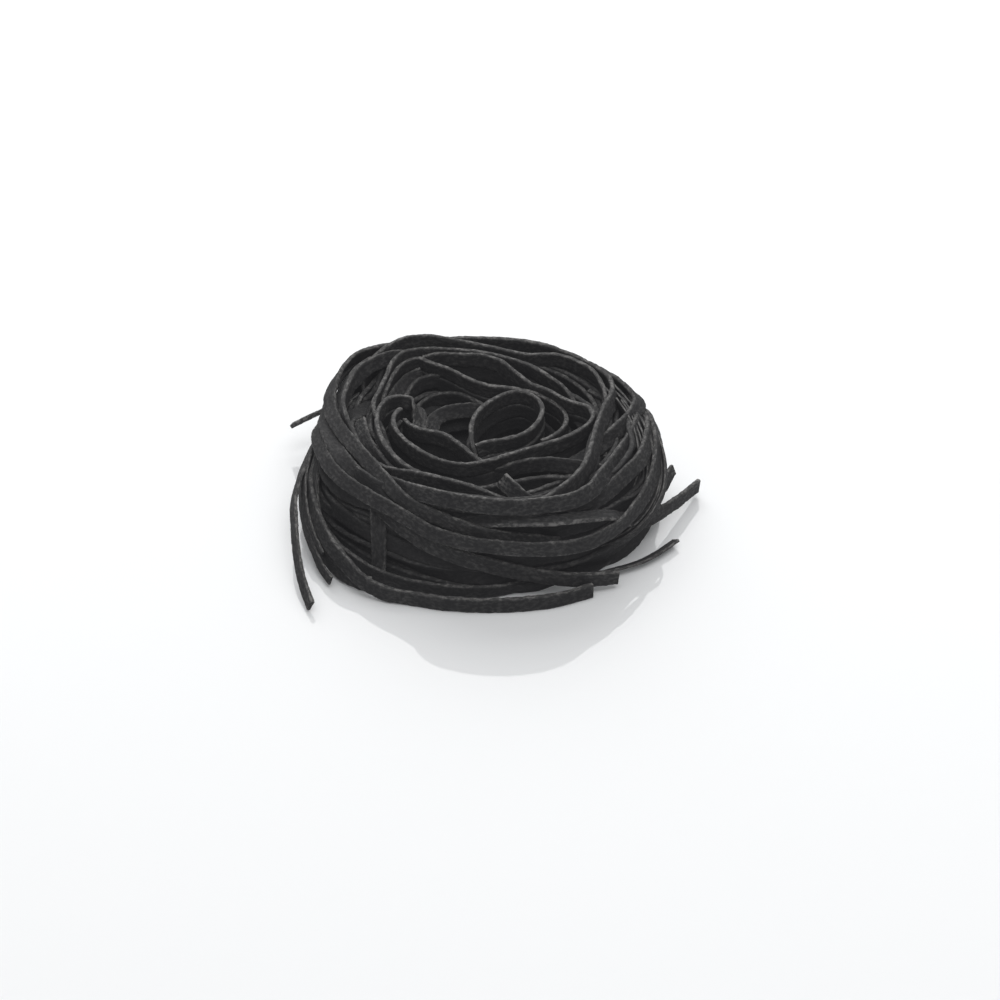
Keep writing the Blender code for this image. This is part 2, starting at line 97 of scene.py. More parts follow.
# %% The rim
RIM = {
    "back_rim": [(-29, 14, 15.5, 30), (-24.5, 24.5, 16.5, 15), (-17, 31, 17.5, 5),
        (-6.5, 31.5, 19.6, 5), (3.5, 30.5, 20.2, 5), (12, 28.7, 20, 5), (20, 24, 19.4, 5),
        (26, 17, 19.2, 5), (27, 11, 19.2, 10), (25, 3, 19.4, 22), (22.7, -8, 19.4, 25),
        (21.4, -14.5, 19.4, 18), (18.8, -21, 19.3, 12), (13, -27.5, 18.4, 10), (6, -29, 16, 10),
        (-3, -27.5, 14, 10)],
    "back_wall": [(-23.6, 14.6, 12.6, 10), (-24.8, 18.4, 16, 8), (-22.5, 22.7, 20, 5),
        (-17.5, 27.5, 21.6), (-12, 29, 21.8), (-6, 28.2, 21.2), (2, 27.6, 19.8), (9, 25.6, 19.2),
        (16, 25.2, 19.3), (22, 20.8, 19.2, 5), (24.5, 16, 19, 10), (25.8, 10.5, 18.2, 10),
        (26.5, 4, 16.4, 10), (25, -6, 14, 10)],
    "left_rim": [(-9, 28, 17.5), (-14, 27, 19, -15), (-19, 24.3, 20.4, -32), (-23, 21, 20.5, -35),
        (-25.6, 17.3, 20.2, -28), (-27.6, 11.5, 19.8, -8), (-28.3, 5, 19.2, 5),
        (-26, -1.8, 16.4, 8), (-23.2, -7.6, 15.6), (-20.4, -11.8, 15.7), (-17.6, -14.8, 16.5),
        (-13.2, -18.2, 18), (-8, -21.2, 18.7), (-2, -23.2, 18, 5), (3, -24.4, 16.4, 10),
        (9, -24.8, 14.4, 10)],
    "inner_back": [(-18, -4, 13.5), (-20, 1, 15.6), (-21.5, 5, 17.4), (-22, 8.5, 18),
        (-21, 13, 18.6), (-19.8, 18, 19), (-18.6, 22.2, 19.6), (-16.4, 25, 20.2), (-12, 26, 20.4),
        (-4.5, 25.8, 20.2), (2, 24.4, 20), (9, 21.5, 19.4), (13.3, 18.6, 18.4), (16.8, 16.1, 16.9),
        (19, 13, 15), (20, 8, 13.4), (20, 2, 12.5)],
    "front_rim": [(10, 32.5, 15, 20), (18, 29.5, 15.5, 25), (25, 24.5, 16, 30),
        (30, 18.5, 16.3, 30), (32.3, 12, 16.3, 32), (32, 5.5, 16.6, 36), (30.1, -2.9, 17.1, 42),
        (28, -8.7, 17.5, 42), (26, -13.6, 17.8, 40), (23.8, -18.5, 18, 34),
        (21.2, -23.8, 18.4, 24), (17.4, -27.7, 18.9, 18), (11, -30.3, 19.4, 15),
        (4, -31, 19.6, 15), (-3, -29.8, 19.8, 15), (-10, -27, 19.6, 17), (-13.6, -23.4, 18.2, 22),
        (-16.8, -18.4, 16.1, 26), (-19.6, -12.4, 14, 30), (-21.6, -6, 12.6, 35)],
    "back_shoulder": [(-2, 32, 15.5, 10), (-10, 31.7, 16.4, 10), (-18, 29.2, 17.2, 15),
        (-24, 25, 17.8, 25), (-27.3, 19.5, 17.8, 35), (-28.6, 12.5, 17, 42), (-28.8, 5, 15.8, 42),
        (-27.5, -3, 14, 40)],
    "right_shoulder": [(12, 30.5, 17.2, 10), (19.5, 26, 18, 10), (25.5, 21, 18, 15),
        (29.8, 16.5, 17.5, 22), (32.2, 11.5, 17.3, 30), (30.8, 5.6, 17.5, 38),
        (28.3, 0.8, 17.7, 38), (25.6, -2.8, 17.5, 25), (22.6, -5.8, 16.3, 60),
        (18.8, -9.2, 15.6, 72), (14.5, -12.3, 14.6, 60)],
    "outer_shoulder": [(27, 22.5, 14.6, 35), (31, 17, 14.8, 35), (33.6, 10.5, 15.1, 35),
        (34.4, 4.5, 15.3, 35), (33.5, -2.2, 15.8, 35), (31.9, -8.6, 16.1, 35),
        (28.6, -14.4, 16.2, 33), (24.2, -20, 15.4, 30), (19.8, -23.2, 14.2, 25),
        (15, -23.8, 13, 18), (9.5, -22.8, 12, 10)],
}

# %% The loops in the crater
CRATER = {
    "great_loop": [(-12.2, 24.5, 19), (-9, 24.6, 19.8), (-4.5, 24, 20), (-0.5, 24, 19.9),
        (3.3, 22.5, 19.6), (6.8, 19.3, 18.6), (10, 15, 18.3), (14, 12.3, 18.1), (18, 8.2, 18.2),
        (21.5, 5.7, 18.4), (22.6, 2.3, 18.4), (21, -1.6, 18.3), (17.3, -5, 18), (11.5, -8, 17.7),
        (5.5, -11, 17.5), (0, -13.7, 17.4), (-4, -14.4, 17.4), (-8, -13.2, 17.5),
        (-12, -10.3, 17.7), (-15.5, -6, 17.9), (-17.6, -1.5, 18), (-18.2, 2.5, 17.9, 12),
        (-17.7, 5, 17.7, 16), (-17, 6.6, 17.6, 20)],
    "s_loop": [(-20.6, 8.5, 15.2), (-20.4, 13, 16.6), (-19.1, 18, 17.9), (-17, 22.2, 18.7),
        (-13.5, 24.3, 19.1), (-10.5, 22.6, 18.8), (-7, 20.7, 18.6), (-2.5, 17.2, 18.1),
        (1, 15.3, 17.8), (6, 14.4, 17.6), (10.3, 13.4, 17.2), (13.6, 11.6, 16.6), (16.3, 9, 16.1),
        (17.3, 5.8, 15.8), (16.6, 2.3, 15.6), (14.5, -0.5, 15.4), (12, -2.2, 15.2)],
    "ring": [(-1, -5.4, 14), (-1.9, -2.8, 15.7), (-2, 1, 16.8), (-1, 5.5, 17), (1.5, 9.5, 17.2),
        (4.5, 12, 17.5), (7.3, 13, 17.6), (9.8, 12.2, 17.5), (11.8, 9.6, 17.4), (12.3, 6, 17.2),
        (11, 1.5, 17), (8.3, -2.3, 16.9), (4.5, -4.4, 16.9), (1.2, -5.3, 16.9),
        (-0.9, -6.2, 16.5)],
    "curl": [(-12.8, 4.8, 14.8, -86), (-12.7, 7.2, 16.1, -82), (-13.5, 9.6, 17.2, -45),
        (-16.8, 11, 17.8), (-19.4, 9.2, 18.1), (-21, 5, 18.3), (-21.2, 0, 18.3), (-20, -6, 18.3),
        (-17.5, -11.8, 18.2), (-14.5, -15.8, 17.9), (-10.5, -18.3, 17.2), (-5, -20, 16),
        (2, -20.5, 14.5)],
    "cross_loop": [(-15.8, 5.5, 15.3), (-14.4, 2.5, 15.8), (-12, 0.2, 16.2), (-8, -1.4, 16.3),
        (-4.6, -4.4, 15.8), (-1.4, -8, 15), (1.5, -10.2, 14.2)],
    "deep_loop": [(-10.4, 5.6, 14.1, -62), (-9.8, 8.3, 14.8, -55), (-7.4, 10.7, 15, -42),
        (-3, 12.3, 14.8, -36), (0.5, 12.7, 14.4, -30)],
}

# %% The bands round the side
SIDE = {
    "long_band": [(-13, 30, 19.4, 5), (-19, 28.8, 19.8, 5), (-23.5, 27.5, 19.8, 8),
        (-27, 25.1, 19.6, 15), (-29.7, 20.5, 19.1, 30), (-31.2, 14, 18.5, 50),
        (-31.2, 9.5, 18.1, 60), (-30.2, 4.5, 17.8, 60), (-27.8, -1.5, 17.6, 55),
        (-22.5, -11.8, 17.6, 45), (-17, -21.5, 17, 30), (-13.3, -25.8, 16.4, 22),
        (-8, -29, 15.6, 20), (-3, -30.5, 14.4, 18), (2, -31.4, 13.4, 16), (8, -31.2, 12, 14),
        (15, -29.5, 10, 10)],
    "front_band": [(-27, 19.5, 12.5, 45), (-31.3, 12.5, 13.5, 50), (-33.2, 6, 14.4, 56),
        (-33.2, 1, 14.9, 58), (-32, -4.5, 15, 55), (-30, -10, 15, 50), (-26.5, -15.5, 15, 42),
        (-22, -20.5, 15, 35), (-18, -24, 14.8, 30), (-14, -27.5, 14.3, 25), (-9, -31, 13.4, 20),
        (-3, -33, 12.7, 17), (4, -34, 12.2, 15), (12, -34, 11.8, 14), (19, -32, 11.4, 14),
        (25, -27.5, 11.4, 17), (30.6, -20, 12.2, 22), (34, -12, 13.2, 28), (35.6, -4, 14.2, 34),
        (35.5, 3.5, 14.8, 40), (34.2, 10.5, 14.6, 42), (30, 19, 14.3, 40), (23, 26.5, 14, 35)],
    "second_band": [(-8, -27, 15, 15), (0, -29.4, 15.6, 66), (7.5, -31.5, 16.7, 86),
        (14, -31, 16.5, 90), (20.5, -28, 15.3, 90), (25.4, -24.8, 13.5, 86), (29, -20.4, 9.4, 50),
        (32.7, -16, 6.5, 12), (37, -9.8, 4.8), (41, -3.3, 3.4, -5), (44.5, 3, 2.3, -5)],
    "under_band": [(-30, -4, 10, 48), (-27, -8.6, 10, 40), (-21.4, -16, 9.6, 30),
        (-15.5, -22, 9.2, 22), (-9.5, -26.5, 8.6, 16), (-4, -29, 7.4, 12), (1, -29.8, 6, 8),
        (7, -30, 4.6, 5)],
    "flared_end": [(-26, -11.5, 12.2, 35), (-22, -17.5, 12.5, 30), (-17.6, -23.6, 12.1, 26),
        (-12.6, -28.8, 11, 20), (-6, -32.2, 9.4, 15), (2, -33.2, 7.4, 10), (9.2, -33.3, 5.5, 8),
        (15.2, -32.9, 4.2, 4), (21, -31.7, 3.1), (26.8, -30, 2.4)],
    "left_drop": [(-29, 14, 10.5, 40), (-32.5, 8, 10.6, 40), (-34.3, 2, 10.6, 38),
        (-35, -4, 10, 35), (-34.7, -9.5, 9, 32), (-33, -16.5, 7.8, 28), (-30.2, -23.3, 6.3, 20),
        (-27, -28, 5, 12), (-23.5, -31.9, 3.3, 6), (-18.5, -34.8, 1.9), (-13, -36, 1.6),
        (-7, -37.6, 1.6), (0, -38.2, 1.6), (8, -37.8, 1.6), (15, -36.3, 1.6), (21.7, -33.2, 1.6)],
    "floor_band": [(-33, 10, 8, 30), (-35.5, 4, 7.8, 30), (-36.3, -3, 7, 28), (-35.5, -9, 5.6, 25),
        (-34, -15.5, 4.2, 20), (-31, -22.5, 3, 12), (-27.8, -27.4, 2, 5), (-24.3, -30.2, 1.65),
        (-21.4, -31.2, 1.6)],
}

# %% The ends that stick out
LOOSE_ENDS = {
    "long_drop": [(-28.5, 14, 12.6, 40), (-32.5, 7, 12.4, 36), (-35, 0, 11.8, 32),
        (-36.6, -6, 10.4, 28), (-37.6, -11.5, 8.2, 26), (-37.2, -18, 6.2, 25),
        (-36.3, -25, 4.3, 25), (-34.8, -32, 2.5, 25), (-32.9, -38.3, 1.5, 25)],
    "short_drop": [(-34.4, 4, 9.8, 35), (-36, -3, 8.8, 30), (-36.3, -9.5, 7.1, 26),
        (-35, -16.5, 4.8, 24), (-33.3, -21.5, 3.2, 22), (-31.4, -26.3, 2, 22),
        (-29.5, -30, 1.6, 20)],
    "back_end": [(-16, 32, 10.5, 10), (-22, 30.5, 9.5, 30), (-28, 27.8, 8.4, 40),
        (-34, 24.5, 7.2, 45), (-40.3, 20.5, 6, 45)],
    "low_right_end": [(15.5, -30, 2.2, -20), (21.5, -28, 1.8, -45), (26.5, -25.8, 1.4, -62),
        (31.5, -23, 1.2, -65), (35.5, -19.5, 1.2, -65), (39, -15.5, 1.2, -65)],
    "raised_tip": [(4, -22.3, 20.2, 35), (6, -24.3, 19.3, 35), (8.5, -26, 17.8, 32),
        (12, -26.8, 16, 28)],
    "side_tip": [(39, -0.4, 8.4, 20), (37.8, -3.4, 8.2, 20), (36.6, -6.4, 8, 20),
        (34, -9.5, 8, 10)],
}
NARROW = {"long_drop": 0.8, "short_drop": 0.62, "back_end": 0.86, "low_right_end": 0.6,
          "side_tip": 0.75}
print("narrower ribbons:", sorted(NARROW))

# %% [markdown]
# Some ribbons lie deeper, so that only a piece of each shows: the linings of the crater, and one
# that falls across the hollow at the front left.

# %% Ribbons half hidden
HALF_HIDDEN = {
    "left_lining": [(-12.6, 23.2, 17.2, -30), (-14.8, 22, 16.8, -48), (-17.1, 18.4, 16.4, -52),
        (-19.2, 13.6, 16, -45), (-21.4, 8, 15.6, -25), (-21.8, 2, 15, -10), (-20, -4, 14)],
    "slant_lining": [(-16.6, 13.5, 13.4), (-15.4, 17.8, 14.7, -8), (-13, 20.8, 15.9, -8),
        (-10, 21.6, 16.4), (-6.8, 22, 15.4), (-3, 21.4, 13.8)],
    "low_lining": [(-14.5, 13.5, 11.5), (-12.8, 16.4, 12.9), (-10.5, 18.3, 13.5),
        (-7.2, 18.3, 14.2), (-4.3, 17.2, 14.5), (-1, 15, 14), (3, 13, 12.8)],
    "right_lining": [(6, 27, 16.4), (12.5, 25.3, 16.2, 5), (18.5, 21.5, 15.6, 10),
        (23, 15, 15, 15), (24.6, 7, 14.6, 15), (23.8, -1, 14.4, 15), (20.5, -9, 14.2, 10),
        (15, -15.5, 14, 5), (8, -19.5, 13.4)],
    "pale_end": [(-25.2, 4.2, 17.3, 84), (-24.6, 0.8, 17.2, 80), (-22.9, -4.4, 16.5, 55),
        (-19.8, -10.8, 16, 35), (-16.2, -15.8, 15.6, 25), (-11, -19.6, 15, 20),
        (-4, -22.4, 14.2, 15)],
    "front_lining": [(24.5, -12.5, 15.6, 5), (18.5, -11.9, 16.4, 2), (12.5, -11.2, 16.5),
        (7, -11.4, 16.1), (1.5, -12.4, 14.8), (-4, -13, 13.4)],
    "lower_lining": [(25, -14.5, 13.6, 5), (18.5, -14.8, 14.2), (12, -14.4, 14.2),
        (5, -15.8, 13.8), (-2, -17.6, 13.4)],
    "falling": [(-20.2, -20, 12.6, 82), (-20, -22.6, 10.2, 85), (-20, -25.2, 6.9, 85),
        (-20.1, -26.6, 4.2, 85), (-20.3, -27.6, 2.2, 80)],
    "hollow_high": [(-21, -19.4, 9, 12), (-18.4, -21.4, 9, 12), (-13, -25.4, 8.8, 12),
        (-7, -27.8, 8.6, 10), (0, -29, 8.4, 10), (8, -29, 8, 8)],
    "hollow_middle": [(-21, -21.4, 6.5, 22), (-18.4, -23.6, 6.4, 22), (-13.4, -27.2, 6.3, 22),
        (-6.5, -29.8, 6, 18), (1, -30.4, 5.8, 12), (8, -30, 5.6, 8)],
    "hollow_low": [(-31.4, -13, 1.9, 8), (-29, -18.6, 1.9, 8), (-25.4, -23.4, 1.9, 6),
        (-21.4, -27.2, 1.85, 4), (-17.4, -30, 1.8, 4), (-12.5, -32.2, 1.75, 2), (-5, -33.7, 1.7),
        (2, -33.4, 1.7), (8, -31.6, 1.7), (15, -28.4, 1.7)],
    "wedge": [(-31.6, 8, 15.8, 55), (-31.3, 3, 16, 55), (-30.1, -2.5, 16.1, 55),
        (-27.9, -8.2, 16, 50), (-24.3, -14.2, 15.8, 42), (-19.6, -19.4, 15.3, 35),
        (-14, -23.4, 14.4, 25), (-7, -26, 13.2, 18)],
    "cave_high": [(-13, 28.4, 15), (-18, 25.6, 15.4), (-22, 21.8, 15.5), (-24.6, 17.4, 15.2, -5),
        (-26.2, 12, 14.6, -8), (-26.4, 6, 13.8, -5), (-25.4, 0, 13), (-23, -6, 12.4)],
    "cave_low": [(-12, 28, 11.8), (-17.4, 25, 12.2), (-21.4, 21, 12.3), (-24.2, 16.2, 12, -5),
        (-25.6, 10.5, 11.4, -8), (-25.6, 4.5, 10.6, -5), (-24.4, -1.5, 10)],
    "ring_crumb": [(9.7, -5.4, 13.8, -30), (11.4, -3.9, 14.4, -30), (13, -2.3, 15, -30)],
    "outer_left": [(-16, 30.2, 17.6, 12), (-22, 27, 18, 18), (-26, 22.3, 18.2, 24),
        (-28.2, 17.2, 17.9, 28), (-29.3, 11.5, 17.3, 32), (-29.6, 5, 16.4, 36),
        (-28.6, -1.5, 15.4, 40), (-26, -8, 14.6, 40)],
    "outer_left_low": [(-14, 31.4, 15.4, 5), (-20, 30.2, 16, 8), (-24, 28.3, 16.9, 12),
        (-28, 24.9, 16.7, 18), (-30.8, 19.8, 15.6, 26), (-32, 13.5, 15.3, 34),
        (-31.8, 7, 14.8, 38), (-30.6, 1, 14.4, 40), (-28.8, -5, 13.8, 40)],
    "left_wall_high": [(-8, 33.4, 12.2, 10), (-16, 31.6, 12.6, 12), (-23, 28, 13, 15),
        (-28.4, 22.2, 13, 20), (-32, 15.5, 12.4, 25), (-33, 8.5, 11.6, 28), (-32.6, 2, 11, 28)],
    "left_wall_low": [(-6, 34.4, 8.8, 8), (-15, 32.6, 9.4, 10), (-22.6, 28.8, 9.8, 12),
        (-28.6, 23, 8.9, 15), (-32.6, 16, 8.5, 20), (-34, 8.5, 8.6, 22), (-33.6, 2, 8, 22)],
}
for part in (RIM, CRATER, SIDE, LOOSE_ENDS, HALF_HIDDEN):
    for name, knots in part.items():
        part[name] = [(*knot, 0)[:4] for knot in knots]

# %% [markdown]
# Dough tears into fine strands where the cutter is blunt.  One bundle of them lies on the right
# shoulder, one under the ends at the left.  Each is (route, count, size, step inwards).

# %% Fine strands
RIGHT_BUNDLE = [
    (29.5, 17.5, 15.9, 28), (32.8, 10.8, 15.6, 24), (35.2, 4.6, 14.9, 20), (36.6, -1.4, 13.9, 18),
    (37, -7, 12.4, 16), (36.2, -13, 10.4, 14), (33.4, -18.6, 8.4, 12), (29, -23, 6.8, 8),
    (23.5, -25, 5.4, 4), (17.5, -26, 4.6, 0)]
LEFT_BUNDLE = [
    (-29.5, 15, 13.6, 35), (-32.8, 8, 13.2, 35), (-34.6, 1, 12.2, 32), (-35.6, -6, 10.2, 28),
    (-35.4, -12, 8, 25), (-34, -18, 5.8, 20), (-31.4, -24, 3.6, 12)]
BUNDLES = ((RIGHT_BUNDLE, 10, 0.42, 0.62), (LEFT_BUNDLE, 5, 0.5, 0.7))
print("half hidden:", len(HALF_HIDDEN), "ribbons; fine strands:", sum(b[1] for b in BUNDLES))

# %% [markdown]
# ## The shape of the bundle
# The other ribbons hardly show.  They follow rules: a side that bulges low down, a rim, and a
# crater.  Bearings are in degrees from +X towards +Y.

# %% Side, rim and crater
RIBBON_WIDTH, RIBBON_THICKNESS = 3.1, 1.04
SIDE_RADIUS, RIM_RADIUS = 37.2, 27.5
WIDEST_HEIGHT, RIM_HEIGHT = 5.5, 22.0
SHOULDER_POWER = 1.6
FLOOR_TUCK = 1.6
OVAL, OVAL_BEARING = 1.0, 145.0
LOPSIDED, LOPSIDED_BEARING = 0.7, -20.0
SIDE_LEAN = 40.0
HOLLOW_BEARING, HOLLOW_HEIGHT = -132.0, 8.8
HOLLOW_HALF_WIDTH, HOLLOW_HALF_HEIGHT = 24.0, 4.2
HOLLOW_SETBACK = 2.4
FRONT_SETBACK = 3.6


def plan_radius(bearing):
    """How much wider than a circle the nest is."""
    oval = OVAL * np.cos(np.radians(2 * (bearing - OVAL_BEARING)))
    return oval + LOPSIDED * np.cos(np.radians(bearing - LOPSIDED_BEARING))


def side_radius(height, bearing):
    """Radius of the nest's side at a height and a bearing."""
    drop = np.clip((WIDEST_HEIGHT - height) / WIDEST_HEIGHT, 0.0, 1.0)
    share = np.clip((height - WIDEST_HEIGHT) / (RIM_HEIGHT - WIDEST_HEIGHT), 0.0, 1.0)
    bulge = np.sqrt(1.0 - share ** SHOULDER_POWER)
    radius = RIM_RADIUS + (SIDE_RADIUS - RIM_RADIUS) * bulge - FLOOR_TUCK * drop ** 2
    return radius + plan_radius(bearing)


def front_share(bearing):
    """One in front, where the drawn bands cover the side, and none at the back."""
    return np.clip(0.3 - 0.85 * np.sin(np.radians(bearing)), 0.0, 1.0)


def hollow(bearing, height):
    """How far the ribbons under the drawn ones stand back: in front, and more in one place."""
    round_it = ((bearing - HOLLOW_BEARING + 180.0) % 360.0 - 180.0) / HOLLOW_HALF_WIDTH
    up_it = (height - HOLLOW_HEIGHT) / HOLLOW_HALF_HEIGHT
    return (FRONT_SETBACK * front_share(bearing)
            + HOLLOW_SETBACK * np.exp(-round_it ** 2 - up_it ** 2))


def side_lean(height):
    """Lean of a ribbon that lies against the side at a height."""
    return SIDE_LEAN * max(0.0, (height - WIDEST_HEIGHT) / (RIM_HEIGHT - WIDEST_HEIGHT))


print("side radius at 0, 5.5 and 22 mm:", side_radius(np.array([0.0, 5.5, 22.0]), 0.0).round(1))

# %% [markdown]
# ## Ribbons that a rule gives
# Eight windings go round the side like the turns of a ball of wool.  Under them lie more turns,
# each with its own middle, size, tilt and lean, drawn from one seeded generator.

# %% Windings and inner turns
WINDING_COUNT = 8
WINDING_START, WINDING_RISE = 1.7, 1.95
WINDING_PHASE, WINDING_TURN = 20.0, 27.0
WINDING_KNOTS, WINDING_STEP = 25, 14.5
WINDING_INSET = 1.0
TURN_STEP = 14.0
LOWEST = 1.7
# the inner turns, as (radius, height); the crater's bed adds degrees, and the floor has leans
DEEP = (31.5, 2.6), (31.5, 5.6), (31, 8.6), (30.5, 11.4), (29.5, 13.6)
UNDER_SIDE = (34, 2.4), (33.5, 5), (33, 7.6), (32.5, 10), (31.5, 12.2), (30.5, 14.4)
BODY = (29, 16), (27, 15.2), (25, 14.6), (30, 14), (31.5, 4), (30.5, 2.2)
BED = ((3.5, 8.2, 420), (7, 8.4, 400), (10.5, 8.8, 400), (14, 9.8, 390), (17, 11.4, 390),
       (20, 13.2, 390), (22.5, 14.8, 380))
FLOOR = (34.2, 62), (32.4, 72), (29, 80), (24, 85), (18, 85)
rng = np.random.default_rng(11)


def winding(index):
    """One turn round the side: a tilted, wandering ring, a little short of closed."""
    knots = []
    for step in range(WINDING_KNOTS):
        bearing = WINDING_PHASE + WINDING_TURN * index + WINDING_STEP * step
        turn = math.radians(bearing)
        z = (WINDING_START + WINDING_RISE * index + 1.6 * math.sin(turn + 2.1 * index)
             + 0.7 * math.sin(3 * turn + 2 * index))
        z = max(RIBBON_WIDTH / 2, z)
        radius = side_radius(z, bearing) - WINDING_INSET - hollow(bearing, z)
        radius += 0.4 * math.sin(2 * turn + 3 * index)
        knots.append((radius * math.cos(turn), radius * math.sin(turn), z, side_lean(z)))
    return knots


def inner_turn(radius, height, lean, degrees, offset, sway, back=1.0):
    """A turn inside the bundle: an off-centre ring, its two ends at the back."""
    setback = back * FRONT_SETBACK * min(1.0, max(0.0, (radius - 22.0) / 8.0))
    phase = rng.uniform(50, 130)
    aside = rng.uniform(0, 2 * math.pi)
    waves = rng.uniform(0, 2 * math.pi, 4)
    direction = rng.choice((-1, 1))
    knots = []
    for bearing in np.arange(0.0, degrees + 1, TURN_STEP):
        turn = math.radians(phase + direction * bearing)
        r = radius + sway * math.sin(2 * turn + waves[0])
        r += 0.6 * sway * math.sin(3 * turn + waves[1])
        r -= setback * front_share(math.degrees(turn))
        z = height + 1.4 * math.sin(turn + waves[2]) + 0.7 * math.sin(2 * turn + waves[3])
        knots.append((r * math.cos(turn) + offset * math.cos(aside),
                      r * math.sin(turn) + offset * math.sin(aside),
                      max(LOWEST, z), lean + 12 * math.sin(2 * turn + waves[2])))
    return knots


def under(knots, depth):
    """The ribbon that stands right under a drawn one and carries it."""
    knots = np.array(knots, dtype=float)
    knots[:, 2] = np.maximum(knots[:, 2] - depth, LOWEST)
    return knots


def fine_strand(route, index, step):
    """One of the fine strands side by side, each further in and a little higher."""
    knots = np.array(route, dtype=float)
    inward = 1.0 - step * index / np.hypot(knots[:, 0], knots[:, 1])
    knots[:, :2] *= inward[:, None]
    along = np.linspace(0.0, 1.0, len(knots))
    knots[:, 2] += 0.45 * index * (1.0 - along) + 0.5 * np.sin(3 * along + 2.1 * index)
    knots[:, 3] += 25 * math.sin(2.7 * index)
    return knots[index % 2:]


def lowered(knots, drop):
    """A second ribbon under a drawn one, as noodles cut side by side lie."""
    waves = rng.uniform(0, 2 * math.pi, 2)
    knots = np.array(knots, dtype=float)
    turn = np.arange(len(knots)) / 3.0
    knots[:, 2] = np.maximum(knots[:, 2] - drop - 0.4 * np.sin(turn + waves[0]), LOWEST)
    knots[:, :2] *= (1.0 + 0.02 * np.sin(0.8 * turn + waves[1]))[:, None]
    return knots


windings = [winding(index) for index in range(WINDING_COUNT)]
loop_walls = [under(knots, depth) for depth in (3.05, 6.1) for knots in CRATER.values()]
strands = [(fine_strand(route, index, step), size) for route, count, size, step in BUNDLES
           for index in range(count)]
fine_strands, fine_sizes = zip(*strands)
under_ribbons = [lowered(knots[:-2], 3.2) for name, knots in RIM.items() if name != "left_rim"]
draw = rng.uniform
deep_turns = [inner_turn(r, z, 10, draw(340, 356), 0.6, 0.6) for r, z in DEEP]
under_windings = [inner_turn(r, z, side_lean(z), draw(335, 350), 0.5, 0.6) for r, z in UNDER_SIDE]
body_turns = [inner_turn(r, z, draw(0, 25), draw(335, 360), 1.2, 1.2) for r, z in BODY]
crater_turns = [inner_turn(r, z, draw(30, 70), degrees, 0.8, 0.8) for r, z, degrees in BED]
floor_turns = [inner_turn(r, 1.2, lean, draw(300, 350), 0.6, 0.6, 0.3) for r, lean in FLOOR]
print("windings:", len(windings), "ribbons under others:", len(under_ribbons + loop_walls))

# %% [markdown]
# ## Lay the ribbons against each other
# Drawn routes cross each other, and real noodles lie on one another.  A cloth simulation of more
# than a hundred ribbons would be slow and hard to steer, so the script settles them itself.  Each
# ribbon is a row of stations, each station three small balls across its width.  Balls of
# different ribbons that overlap push their stations apart and turn them, and each ribbon shares
# its moves out along its length.  A group has routes, how firmly they are held, and a weight.

# %% Stations
STATION = 1.2
BALL_ROWS = np.array([-1.05, 0.0, 1.05])
BALL_REACH = 1.16


def resample(knots, step):
    """Rows about a step apart on the curve that runs through all the knots."""
    rows = np.array(knots, dtype=float)
    count = len(rows)
    gaps = np.linalg.norm(np.diff(rows[:, :3], axis=0), axis=1)
    along = np.concatenate([[0.0], np.cumsum(gaps)])
    low = np.maximum(np.arange(count) - 1, 0)
    high = np.minimum(np.arange(count) + 1, count - 1)
    slopes = (rows[high] - rows[low]) / (along[high] - along[low])[:, None]
    samples = np.linspace(0.0, along[-1], max(4, round(along[-1] / step) + 1))
    i = np.clip(np.searchsorted(along, samples, side="right") - 1, 0, count - 2)
    length = (along[i + 1] - along[i])[:, None]
    t = (samples - along[i])[:, None] / length
    return ((2 * t ** 3 - 3 * t ** 2 + 1) * rows[i]
            + (t ** 3 - 2 * t ** 2 + t) * length * slopes[i]
            + (3 * t ** 2 - 2 * t ** 3) * rows[i + 1]
            + (t ** 3 - t ** 2) * length * slopes[i + 1])


def unit(vectors):
    return vectors / np.maximum(np.linalg.norm(vectors, axis=-1, keepdims=True), 1e-9)


def width_directions(route):
    """The direction of the ribbon's width at each row, from its lean."""
    ahead = unit(np.gradient(route[:, :3], axis=0))
    left = unit(np.cross((0.0, 0.0, 1.0), ahead))
    up = np.cross(ahead, left)
    inward = np.where((left * route[:, :3])[:, :2].sum(axis=1) > 0, -1.0, 1.0)[:, None] * left
    lean = np.radians(route[:, 3])[:, None]
    return unit(np.cos(lean) * up + np.sin(lean) * inward)


groups = {"rim": (RIM.values(), 0.10, 8.0), "crater_loops": (CRATER.values(), 0.10, 8.0),
          "side_bands": (SIDE.values(), 0.10, 10.0),
          "loose_ends": (LOOSE_ENDS.values(), 0.12, 10.0),
          "loop_walls": (loop_walls, 0.10, 8.0), "half_hidden": (HALF_HIDDEN.values(), 0.05, 4.0),
          "fine_strands": (fine_strands, 1.0, 1.0), "windings": (windings, 0.01, 2.0),
          "under_ribbons": (under_ribbons, 0.006, 2.0),
          "inner_turns": (under_windings + body_turns, 0.0, 1.0),
          "deep_turns": (deep_turns, 0.0, 1.0), "crater_turns": (crater_turns, 0.0, 1.0),
          "floor_turns": (floor_turns, 0.0, 1.0)}
middle, across, strand, hold, weight, group_of = [], [], [], [], [], []
for name, (routes, firmness, heaviness) in groups.items():
    for knots in routes:
        route = resample(knots, STATION)
        middle.append(route[:, :3])
        across.append(width_directions(route))
        for column, value in ((strand, len(group_of)), (hold, firmness), (weight, heaviness)):
            column.append(np.full(len(route), value))
        group_of.append(name)
middle, across, strand, hold, weight = (np.concatenate(part) for part in
                                        (middle, across, strand, hold, weight))
owner = np.array(group_of)[strand]
station = np.arange(len(strand))
before = np.where(np.roll(strand, 1) == strand, station - 1, station)
after = np.where(np.roll(strand, -1) == strand, station + 1, station)
before[0], after[-1] = 0, station[-1]
print(len(group_of), "ribbons,", len(station) * STATION / 1000, "m of noodle")

